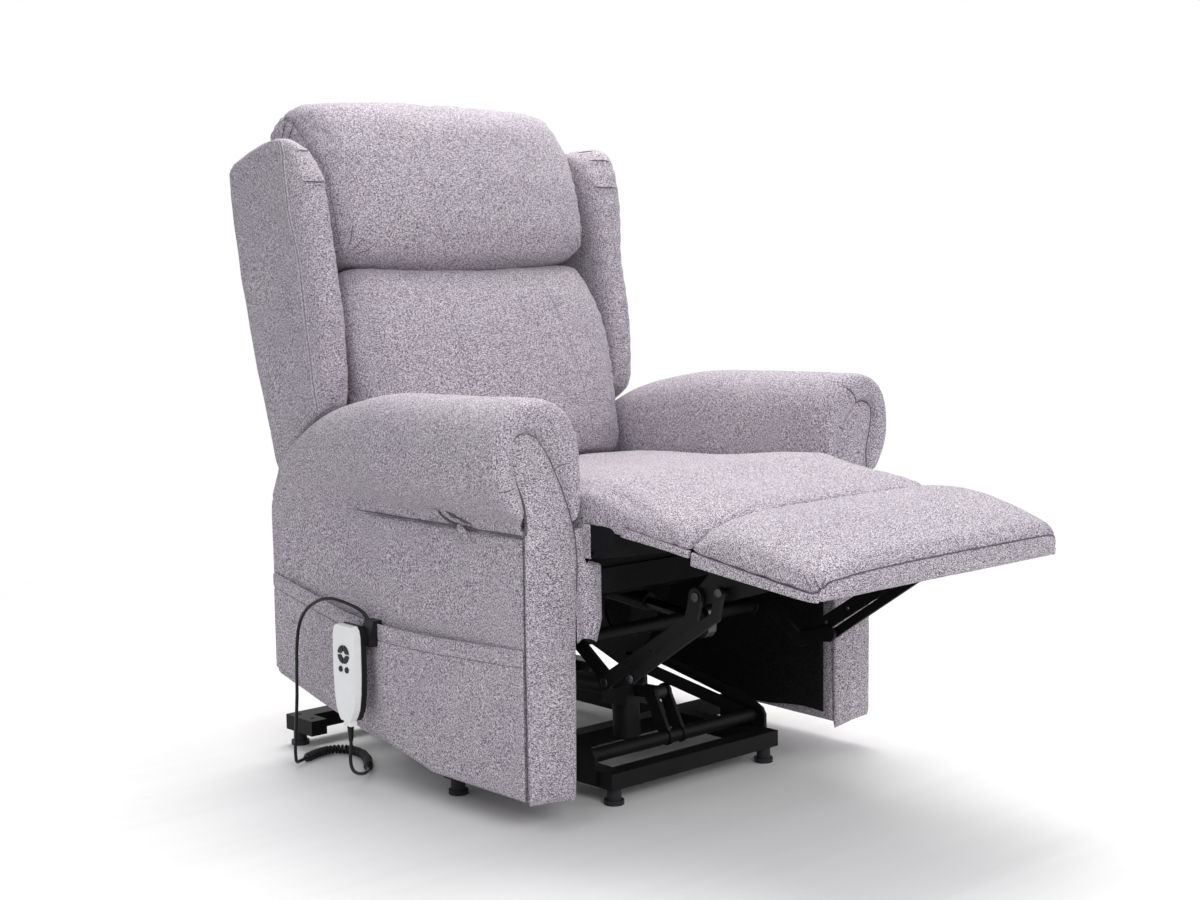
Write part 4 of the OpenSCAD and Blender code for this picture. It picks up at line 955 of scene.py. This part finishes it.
def foot_pad():
    """Rows of (distance forward, half width, bottom, edge, middle, roundness right and left)."""
    end = CALF_LEN + FOOT_LEN
    table = [(0.5, 251, 14.5, 16, 42, 2.6, 7), (4, 254, 13, 14, 50, 2.8, 7.5),
             (11, 256, 12.4, 13, 57, 3.0, 8), (25, 257, 12.4, 13, 62, 3.1, 8.5),
             (60, 257, 12.4, 13, 66, 3.2, 9), (100, 257, 12.4, 13, 67, 3.2, 9),
             (135, 257, 12.4, 13, 65, 3.2, 8.5), (165, 257, 12.4, 13, 61, 3.2, 8),
             (193, 257, 12.4, 14, 55.5, 3.2, 7.5), (209, 256.5, 9, 16, 51.5, 3.4, 7.5),
             (219, 255, 6, 20, 47.5, 3.6, 8), (225, 252, 5, 25, 43.5, 3.6, 9)]
    rows = [(CALF_LEN + s, *row) for s, *row in table]
    rows.append((end - 0.4, 249, 6, 29, 40.5, 3.4, 9))
    rings = [pillow(-row[0], *row[1:]) for row in flowing(rows, 8)]
    obj = skin("foot_rest_cover", rings, ON_REST, flip=True)
    puff(obj, 4, 2.5, ON_REST, lambda p: ease((p[2] - 16) / 22) * ease((end - 6 + p[1]) / 14))
    band = [(-257.6, -(CALF_LEN + 3), 4), (-258, -300, 9), (-257.6, -396, 14),
            (-256, -(end - 12), 19), (-250, -(end + 0.4), 26)]
    front = [(-204, 34), (-109, 38), (0, 40), (109, 39.5), (204, 39)]
    around = band + [(x, -(end + 1.0), z) for x, z in front]
    around += [(250, -(end + 0.4), 37), (256, -(end - 12), 26), (257.6, -396, 16), (258, -300, 10),
               (257.6, -(CALF_LEN + 3), 4)]
    groove = grooves([around], 4.0, 3.0)
    dents = [[(-250, -(end - 1), 26), (-238, -(end - 10), 42)],
             [(-254, -(end - 6), 21), (-247, -(end - 22), 38)],
             [(-256, -(end - 16), 18), (-250, -(end - 36), 34)],
             [(250, -(end - 1), 36), (236, -(end - 10), 47)]]
    pulls = []
    for sx in (-1, 1):
        for x0, d0, x1, d1 in ((251, 200, 232, 222), (254, 206, 246, 236), (248, 197, 220, 208)):
            pulls.append([(sx * x0, -d0, 30), (sx * x1, -d1, 46)])
    deep = grooves(dents + pulls, 5.0, 2.8)

    def swell(p):
        x, y, z = p
        out = 2.2 * crumple(p, 80, 41.0) - groove(p) - deep(p)
        out += 1.4 * gathers(x, abs(-y - CALF_LEN - 2), 31, 16, 3.0) if z > 20 else 0
        return out if z > 14 else 0.3 * out
    reshape(obj, ON_REST, swell)
    soft(obj, "foot_rest", ["foot_pad"])
    skirt("foot_rest_band", "foot_rest", [(CALF_LEN + 3, -6, 12.2), (300, -2, 12.2), (390, 2, 13),
                                          (end - 5, 5, 15)])
    skirt("calf_rest_band", "calf_rest", [(61, -1.5, 13), (110, 1, 13), (165, 3, 13),
                                          (CALF_LEN - 3, 3, 13)])
    # The band seam and the corner tuck tubes are dark: painted shade along the seam and in the
    # tucks.
    seam("foot_rest_band_seam", around, "foot_rest", ON_REST, 1.2, 5, obj)
    folds("foot_rest_corner_tuck_shade", dents, "foot_rest", ON_REST, obj, 0.5)


# ---------- arms ----------

# An arm: an upright box, a rolled pad that falls and narrows to the rear, and a facing.
PAD_X = BOX_IN + 86 * 0.69
BOX_MID = BOX_IN + 43.0
SEAM_Z = 426.0
ARM_TOP = 612.0
ARM_END = 656.0


def fallen(y):
    """0 along the level part of an arm, rising to 1 at its rear end."""
    return max(0.0, y - 300) / (ARM_END - 300)


def pad_mid(y):
    return PAD_X + (BOX_MID - PAD_X) * fallen(y)


def pad_half(y):
    return (75 + 4 * bell(y - 8, 45)) * (1 - 0.38 * fallen(y))


def pad_top(y):
    level = ARM_TOP - 5 * ease((y - 60) / 240)
    return SEAM_Z + (level + 5 * ease((y - 380) / 120)
                     - SEAM_Z) * max(0.0, 1 - min(1.0, fallen(y)) ** 1.6) ** 0.56


def arm_bottom(y):
    return lerp([(0, 49), (222, 52), (405, 78.4), (464, 90), (639, 129), (649, 135), (653, 146)], y)


# The facing's edges as rows of (height, distance from the middle), and the pads' short folds.
FACE_LOW, FACE_HIGH = 49, 566
FACE_OUT = [(FACE_LOW, 363), (60, 363.5), (300, 364), (426, 363), (445, 361), (460, 360),
            (472, 361), (484, 364), (499, 369.5), (515, 375.5), (531, 379.5), (545, 380.5),
            (553, 378.5), (560, 373), (564, 366.5), (FACE_HIGH, 359)]
FACE_IN = [(FACE_LOW, 280), (120, 277.5), (328, 274.5), (380, 272), (412, 275), (428, 278),
           (445, 281.5), (460, 285), (471, 287.5), (489, 292), (508, 300.5), (526, 309.5),
           (541, 319), (553, 328), (560, 336), (564, 343), (FACE_HIGH, 351)]
TUCKS = [[(305, 12, 518), (296, 3, 526), (284, 12, 531)], [(336, 13, 560), (322, 4, 578),
                                                           (308, 10, 588), (297, 24, 590)]]
NEAR_TUCKS = [[(380, 12, 497), (392, 2, 493), (404, 10, 490)],
              [(305, 12, 512), (292, 3, 519), (280, 8, 522)]]


def sunk(z):
    """How far the top of the facing lies behind the arm's front."""
    return 11.5 * ease((z - 425) / 85)


def pad_outline(y, n=120):
    """Outline of an arm pad: round above, full towards the seat, drawn in to its seam."""
    half, mid, high = pad_half(y), pad_mid(y), (pad_top(y) - SEAM_Z) / 2
    tail = ease((y - 330) / 200)
    foot = min(half, BOX_OUT + 0.8 - mid)
    points = []
    for i in range(121):
        t = math.pi * i / 120
        c, q = math.cos(t), math.sin(t)
        points.append((half * math.copysign(abs(c) ** 0.8, c), high * q ** 0.8))
    points += [(-half * (1 - (k / 30) ** 4) ** 0.25, -high * k / 30) for k in range(1, 30)]
    points += [(-half * 0.5, -high - 3 - 14 * tail), (foot - 4 - 4 * tail, -high - 3 - 14 * tail),
               (foot - 2.5 * tail, -high - 12 * tail), (foot - 0.8 * tail, -high)]
    for k in range(1, 31):
        t = k / 30
        drawn = max(foot, half * max(0.0, 1 - ((1 - t) / 0.93) ** 1.7) ** (1 / 1.7))
        points.append((drawn + (foot - 0.8 + (half - foot + 0.8) * ease(t) - drawn) * tail,
                       -high * (1 - t)))
    return [(mid + a, SEAM_Z + high + b) for a, b in evenly(points, n)[:-1]]


def corner(y, z):
    """How far in the outer side of an arm lies, where its rear top corner is rounded off."""
    start = lerp([(376, 652), (394, 649), (428, 630), (464, 604), (500, 586), (560, 570)], z)
    r = 658 - start
    d = min(0.999, max(0.0, y - start) / r)
    return r * (1 - math.sqrt(1 - d * d))


def arm_pad(s, tag):
    outer = pad_outline(30)
    low, high = (434, *range(445, 506, 10)), (505, 515, 525, 535, 545, 552, 558, 562, 564.5)
    arch = [(lerp(FACE_OUT, z) - 1.5, z) for z in high]
    arch += [(lerp(FACE_IN, z) + 1.5, z) for z in (*reversed(high), *reversed(low[:-1]))]
    arch += [(lerp(FACE_OUT, z) - 1.5, z) for z in low]
    inner = evenly(arch, 120)[:-1]
    rings = []
    for t, y in ((1.0, 17), (0.96, 15), (0.91, 11), (0.85, 7), (0.77, 3.6), (0.67, 1.2),
                 (0.56, 0.1), (0.46, -0.4), (0.36, 0), (0.27, 0.8), (0.19, 2.6), (0.12, 5.4),
                 (0.07, 9), (0.035, 13.5), (0.012, 20)):
        ring = []
        for (x0, z0), (x1, z1) in zip(outer, inner):
            deep = 17 + (y - 17) * min(1.0, math.hypot(x1 - x0, z1 - z0) / 26)
            ring.append((s * (x0 + (x1 - x0) * t), deep, z0 + (z1 - z0) * t))
        rings.append(ring)
    ys = [30, 38, 47, 57, 68, 80, *range(92, 585, 12), 592, 600, 608, 615, 622, 628, 634, 639, 644,
          648, 651]
    for y in ys:
        trim = lerp([(626, 1), (634, 0.985), (642, 0.95), (648, 0.88), (651, 0.8)], y)
        mid, room = pad_mid(y), 60 * ease((612 - y) / 40)
        rings.append([(s * (mid + min((x - mid) * trim, BOX_OUT + 1 - mid - corner(y, z) + room)),
                       y, z) for x, z in pad_outline(y)])
    tucks = [[(s * x, y, z) for x, y, z in path] for path in (NEAR_TUCKS if s < 0 else TUCKS)]
    slit = [(s * 373, 206, 446), (s * 372, 190, 441), (s * 371, 165, 434), (s * 368, 140, 429),
            (s * 366, 122, 426)]
    deep = grooves(tucks, 4.5, 2.6)
    pull = grooves([slit], 6.0, 3.5 if s < 0 else 0.0)

    def roll(p, n):
        x, y, z = p
        out = 2.0 * crumple(p, 75, 50.0 + s) * ease((y + 10) / 50) - deep(p) - pull(p)
        puckers = 1.3 * gathers(y, abs(z - SEAM_Z), 44, 20, 8.0 + s)
        out += puckers * ease((460 - y) / 60) * ease((y - 20) / 30)
        return out
    obj = skin(f"arm_pad_cover_{tag}", rings, WHOLE, roll)
    soft(obj, "chassis", [f"arm_pad_{tag}"])
    # The tuck tubes and the two lines along the pull slit are dark: painted shade in the tucks and
    # in the slit.
    folds(f"arm_pad_tuck_shade_{tag}", tucks, "chassis", WHOLE, obj, 0.7 if s < 0 else 1.1)
    if s < 0:
        folds("arm_pull_slit_shade", [[(x, y, z + 4.5) for x, y, z in slit],
                                [(x, y, z - 4) for x, y, z in slit]], "chassis", WHOLE, obj, 2.2)
        edge = laid_on([(x - 2, y, z + 0.6) for x, y, z in slit], obj, WHOLE, 4)
        lip = tube("arm_pull_loop", edge, lambda t: 1.2 + 2.4 * math.sin(math.pi * t))
        fasten(lip, "chassis", CLOTH)
        strap = smooth_path([(-366, 146, 428), (-369, 138, 423), (-369, 129, 418),
                             (-367, 122, 410)], 2.5)
        tab = tube("arm_pull_tab", strap,
                   lambda t: 1.2 + 3.8 * math.sin(math.pi * min(1.0, 0.25 + 0.8 * t)))
        fasten(tab, "chassis", CLOTH)


def arm_box(s, tag):
    rings = []
    for y in (8.2, 8.8, 10, 13, 20, *range(32, 633, 12), 638, 642, 646, 650, 652.6):
        low = arm_bottom(y)
        trim = lerp([(8.2, 3), (13, 0), (640, 0), (646, 1), (650, 4), (652.6, 8)], y)
        high = (SEAM_Z - 0.4 + 10 * ease((y - 330) / 200) * ease((650 - y) / 60) - low) / 2
        ring = []
        for a, b in rounded(43.0 - trim, high - trim * 0.5, 14, 112):
            ring.append((s * (BOX_MID + min(s * a, 43.0 - corner(y, low + high + b))), y,
                         low + high + b))
        rings.append(ring)

    def panel(p, n):
        x, y, z = p
        if s * x > BOX_OUT - 4:
            return 1.6 * bell(z - 345, 60) * bell(y - 330, 240) + 1.2 * crumple(p, 110, 60.0)
        if s * x < BOX_IN + 3:
            return -0.2
        return 0.5 * crumple(p, 40, 61.0)
    obj = skin(f"arm_box_cover_{tag}", rings, WHOLE, panel)
    soft(obj, "chassis", [f"arm_box_{tag}"])


def facing(s, tag):
    """Tongue-shaped front panel with a rolled edge, and the dark seam cord round it, painted shade
    in the crease between pad and facing.
    """
    zs = [49, 50, 52, 56, 62,
          72] + list(range(84, 400, 12)) + list(range(404, 525,
                                                      8)) + [531, 538, 544, 549, 554, 558, 561.5,
                                                             564, 565.6, 566]
    rings = []
    for z in zs:
        a, b = lerp(FACE_IN, z), lerp(FACE_OUT, z)
        mid, half = (a + b) / 2, (b - a) / 2
        soft_end = 1 - 0.75 * (1 - ease(min(z - FACE_LOW, FACE_HIGH - z) / 9))
        deep = 4.1 * soft_end
        ring = []
        for x, y in rounded(half, deep, 5, 64):
            bulge = 1 + 3.2 / 4.1 * (1 - (x / half) ** 2) * (1 - 0.5 * ease((z - 430) / 90))
            sag = 8 * ease((115 - z) / 66) * (0.5 + 0.5 * s * x / half) ** 2
            ring.append((s * mid - x, 4.2 + sunk(z) + (y if y > 0 else y * bulge), z - sag))
        rings.append(ring)
    obj = skin(f"arm_facing_cover_{tag}", rings, WHOLE, lambda p, n: 0.8 * crumple(p, 50, 70.0 + s)
               if p[1] < 4 else 0)
    fasten(obj, "chassis", CLOTH)
    line = [(s * (lerp(FACE_OUT, z) + 0.4), 3.0 + sunk(z), z)
            for z in (428, *(z for z, _ in FACE_OUT[4:-1]))]
    line += [(s * 355, 4.0 + sunk(FACE_HIGH), 567)]
    line += [(s * (lerp(FACE_IN, z) - 0.8), 4.0 + sunk(z), z) for z, _ in reversed(FACE_IN[2:-1])]
    seam(f"arm_facing_seam_{tag}", line, "chassis", WHOLE, 2.0, 5)
    return obj


def arms():
    for s, tag in SIDES:
        arm_pad(s, tag)
        arm_box(s, tag)
        facing(s, tag)
        # A dark tube along the join of pad and box, thickest at the front, and a dark front seam:
        # painted shade in the crease along these seams.
        crease = [(s * (BOX_OUT + 0.9), y, SEAM_Z - 0.3) for y in (12, 80, 160, 240, 320, 380, 430)]
        line = tube(f"arm_pad_seam_{tag}", smooth_path(crease, 8),
                    lambda t: 0.15 + 1.15 * min(1.0, 5 * (1 - t)), 6)
        fasten(line, "chassis", SEAM_SHADOW)
        seam(f"arm_front_seam_{tag}", [(s * (BOX_OUT + 0.2), 9.0, z)
                                       for z in (54, 120, 200, 280, 360, 424)], "chassis", WHOLE,
             0.9)
    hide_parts("arm_facings")


def sheet_between(name, rows, thick, where=WHOLE, shape=None):
    """A thin closed cloth through rows of points."""
    n, m = len(rows[0]), len(rows)
    flat = [Vector(p) for row in rows for p in row]
    faces = [(i * n + j, i * n + j + 1, (i + 1) * n + j + 1, (i + 1) * n + j) for i in range(m - 1)
             for j in range(n - 1)]
    obj = make(name, flat, faces, where, shape)
    wall = obj.modifiers.new("thickness", "SOLIDIFY")
    wall.thickness, wall.offset = thick * MM, 0.0
    bake(obj, wall)
    return obj


def sheet_area(rows):
    area = 0.0
    for r0, r1 in zip(rows, rows[1:]):
        for a, b, c, d in zip(r0, r0[1:], r1[1:], r1):
            a, b, c, d = (Vector(p) for p in (a, b, c, d))
            area += ((b - a).cross(c - a).length + (c - a).cross(d - a).length) / 2
    return area * MM * MM


# The pocket: its ends, the depth of its hem, and its rim as rows of (y, height).
POCKET_FRONT, POCKET_REAR = 12, 641
HEM = 23
RIM = [(0, 266), (254, 257), (397, 261), (511, 278), (653, 301)]


def pocket():
    def edge(y):
        return 54 + max(0.0, 94 * (y - 222) / 431)

    def bulge(y, t):
        along = min(1.0, max(0.0, (y - POCKET_FRONT) / (POCKET_REAR - POCKET_FRONT)))
        return BOX_OUT + 0.4 + 9 * math.sin(math.pi * along) * math.sin(math.pi / 2 * t)

    rim_line = flowing(RIM, 20)

    def rim_at(y):
        return lerp(rim_line, y)

    rows = []
    for y in spread(POCKET_FRONT, POCKET_REAR, 105):
        z0, z1 = edge(y), rim_at(y)
        row = []
        for t in spread(0, 1, 45):
            z = z0 + (z1 - z0) * t
            x = bulge(y, t) + 1.2
            x += 1.0 * crumple((0, y, z), 60, 80) * t + 0.8 * gathers(y, z1 - z, 37, 30, 4.4) * t
            x -= 1.4 * bell(z - (z1 - HEM), 2.6)
            fold = bell(y - 318 - 0.10 * (z1 - z), 26) - bell(y - 362 - 0.05 * (z1 - z), 16)
            x += 5.5 * fold * math.sin(math.pi * min(1.0, t * 0.9 + 0.1)) * ease(t * 2.5)
            x += 0.8 * ease((z - z1 + HEM) / 6) * t
            row.append((-x, y, z))
        rows.append(row)
    obj = sheet_between("side_pocket_cloth", rows, 2.2)
    fasten(obj, "chassis", CLOTH)
    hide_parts("side_pocket")
    round(sheet_area(rows), 4)
    # The hem stitches are dark: painted shade along the hem.
    hem = [(-(bulge(y, 0.9) + 2.5), y, rim_at(y) - HEM) for y in range(16, 640, 12)]
    stitches("pocket_hem_stitch", hem, WHOLE, "chassis", SEAM_SHADOW, obj, 6.0, 5.2, 0.6)
    rim = [(-(bulge(y, 1) + 1.6), y, rim_at(y) + 0.2) for y in range(14, 645, 12)]
    fasten(tube("pocket_rim_fold", rim, 1.7), "chassis", CLOTH)


GUSSET_LOW, GUSSET_HIGH, GUSSET_ROWS = 266, 428, 54


def gussets():
    width = [(266, 38), (276, 42), (296, 49), (320, 50), (373, 50), (381, 23), (430, 17)]
    first = None
    for s, tag in SIDES:
        rows = []
        for i, z in enumerate(spread(GUSSET_LOW, GUSSET_HIGH, GUSSET_ROWS)):
            row = []
            for u in spread(0, 1, 20):
                wave = math.sin(math.tau * u * 1.2 + 0.4 + z / 60) * (3.0 - 1.8 * i / GUSSET_ROWS)
                wave += 1.2 * crumple((u * 50, 0, z), 26, 90)
                low = 6 * math.sin(3 * u) - 5 * u
                row.append((s * (274.6 - lerp(width, z) * u), 3.2 + wave,
                            z + low * (1 - i / GUSSET_ROWS) ** 2))
            rows.append(row)
        obj = sheet_between(f"gusset_{tag}", rows, 1.6)
        fasten(obj, "chassis", CLOTH)
        round(sheet_area(rows), 5)
        first = first or obj
    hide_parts("gusset_flaps")


def linings():
    first = None
    low = [(20, 62), (222, 64), (405, 92), (464, 104), (633, 143)]
    for s, tag in SIDES:
        rows = []
        for y in spread(24, 633, 59):
            row = []
            for t in spread(0, 1, 24):
                z0 = lerp(low, y) + 5 * math.sin(y / 37.0)
                z = z0 + (412 - z0) * t
                row.append((s * (275.6 - 1.0 * abs(crumple((0, y, z), 70, 95))), y, z))
            rows.append(row)
        obj = sheet_between(f"arm_lining_{tag}", rows, 1.0)
        fasten(obj, "chassis", LINING)
        round(sheet_area(rows), 4)
        first = first or obj
    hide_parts("arm_linings")


def valance():
    rings = []
    for z in (133.5, 134.3, 136, 140, 150, 165, 180, 195, 210, 225, 240, 255, 261, 263.6, 264.6):
        trim = 3 - 3 * ease(min(z - 133.5, 264.6 - z) / 6)
        rings.append([(-x, 644 + y, z) for x, y in rounded(276.4, 6 - trim, 9, 96)])
    obj = skin("rear_valance_cloth", rings, WHOLE, lambda p, n: 0.9 * crumple(p, 70, 99.0))
    soft(obj, "chassis", ["rear_valance"])


headrest()
back_cushion()
wings()
back_panel()
seat_pad()
foot_pad()
arms()
pocket()
gussets()
linings()
valance()

# ---------- steelwork and small parts ----------

crisp = {"lift_arms": 1.0, "lift_links": 1.0, "side_plates": 0.8, "crank_links": 1.0,
         "long_links": 1.0, "short_links": 1.0, "foot_brackets": 0.6, "base_cross_bars": 2.0,
         "base_side_rails": 2.0, "base_rear_bar": 2.0, "back_uprights": 1.5,
         "seat_cross_rails": 2.0, "seat_side_rails": 2.0, "calf_board": 1.5, "foot_board": 1.5,
         "control_box": 2.5, "handset_hook": 0.8}
for name, width in crisp.items():
    edge = frame["nodes"][name].modifiers.new("edge", "BEVEL")
    edge.width, edge.segments, edge.limit_method = width * MM, 2, "ANGLE"
    edge.angle_limit = math.radians(50)


RIVET_SIDES = 16


def rivets(name, body, x, spots, r=7.0, high=2.6):
    """Domed rivet heads on both sides of the chair, at (y, z) places."""
    verts, faces = [], []
    for s in (-1, 1):
        for y, z in spots:
            base = len(verts)
            for k, (rr, h) in enumerate(((r, 0), (r, 0.7), (0.82 * r, 0.72 * high),
                                         (0.45 * r, high))):
                for i in range(RIVET_SIDES):
                    t = math.tau * i / RIVET_SIDES
                    verts.append((s * (x + h), y + rr * math.cos(t), z + rr * math.sin(t)))
            verts.append((s * (x + high * 1.08), y, z))
            tip = len(verts) - 1
            rim = bands(4, RIVET_SIDES, base)
            last = range(tip - RIVET_SIDES, tip)
            rim += [(a, b, tip) for a, b in zip(last, (*last[1:], last[0]))]
            faces += rim if s > 0 else [(face[0], *face[:0:-1]) for face in rim]
    fasten(make(name, verts, faces), body, RIVET)


rivets("knee_rivets_long", "cranks", 214.9, [(12.0, 198.0)], 7.0, 1.0)
rivets("knee_rivets_short", "cranks", 223.0, [(-51.0, 215.0)])
rivets("foot_rivets_long", "foot_rest", 214.9, [(-172.0, 346.0)], 7.0, 1.0)
rivets("foot_rivets_short", "foot_rest", 223.0, [(-224.0, 360.0)])
rivets("crank_rivets", "chassis", 207.0, [(158.0, 300.0)])

# ---------- studio ----------

scene = bpy.context.scene
scene.view_settings.view_transform = "Standard"

world = bpy.data.worlds.new("studio")
scene.world = world
world.use_nodes = True
tree = world.node_tree
soft_light = tree.nodes["Background"]
soft_light.inputs["Color"].default_value = (0.93, 0.95, 1.0, 1)
soft_light.inputs["Strength"].default_value = 0.42
seen = tree.nodes.new("ShaderNodeBackground")
seen.inputs["Color"].default_value = (1, 1, 1, 1)
seen.inputs["Strength"].default_value = 1.0
rays = tree.nodes.new("ShaderNodeLightPath").outputs


def either(a, b):
    """1 where one of two sockets is 1."""
    most = tree.nodes.new("ShaderNodeMath")
    most.operation = "MAXIMUM"
    tree.links.new(a, most.inputs[0])
    tree.links.new(b, most.inputs[1])
    return most.outputs[0]


direct = either(either(rays["Is Camera Ray"], rays["Is Glossy Ray"]), rays["Is Transmission Ray"])
choose = tree.nodes.new("ShaderNodeMixShader")
tree.links.new(direct, choose.inputs[0])
tree.links.new(soft_light.outputs[0], choose.inputs[1])
tree.links.new(seen.outputs[0], choose.inputs[2])
tree.links.new(choose.outputs[0], tree.nodes["World Output"].inputs["Surface"])


def lamp(name, spot, target, size, power, colour):
    """A rectangular lamp, all in metres and watts."""
    data = bpy.data.lights.new(name, "AREA")
    data.shape, data.size, data.size_y = "RECTANGLE", size[0], size[1]
    data.energy, data.color = power, colour
    obj = bpy.data.objects.new(name, data)
    obj.location = spot
    obj.rotation_euler = (Vector(target) - Vector(spot)).to_track_quat("-Z", "Y").to_euler()
    scene.collection.objects.link(obj)


lamp("overhead", (0.7, 0.9, 3.0), (0, 0, 0.4), (2.2, 2.2), 98, (1, 0.99, 0.97))
lamp("window", (2.4, -2.2, 1.7), (0, 0, 0.5), (2.0, 2.0), 20, (1, 0.99, 0.98))
lamp("front", (-1.2, -3.0, 1.9), (-0.1, 0, 0.55), (1.4, 1.2), 46, (0.98, 0.99, 1))
lamp("fill", (-2.7, -0.8, 2.5), (0, 0, 0.6), (2.0, 1.6), 18, (0.96, 0.98, 1))

floor_finish = Finish("pale_floor", Roughness=0.55, Specular_IOR_Level=0.15)
boards = floor_finish.grain((0.6, 9, 1), 4, 0.55, 0.6)
floor_finish.feed("Base Color", floor_finish.ramp(boards, [(0.3, (0.88, 0.868, 0.86)),
                                                           (0.7, (0.93, 0.922, 0.918))]))
here = floor_finish.node("ShaderNodeTexCoord", out="Object")
far = floor_finish.node("ShaderNodeVectorMath", {"operation": "LENGTH"}, {0: here}, out=1)
floor_finish.feed("Alpha", floor_finish.ramp(far * 0.4, [(0.36, (1, 1, 1)), (0.95, (0, 0, 0))]))
FLOOR_HALF, FLOOR_Z = 6000, -0.4
ground = make("floor", [(x * FLOOR_HALF, y * FLOOR_HALF, FLOOR_Z)
                        for x, y in ((-1, -1), (1, -1), (1, 1), (-1, 1))], [(0, 1, 2, 3)])
dress(ground, floor_finish.material)
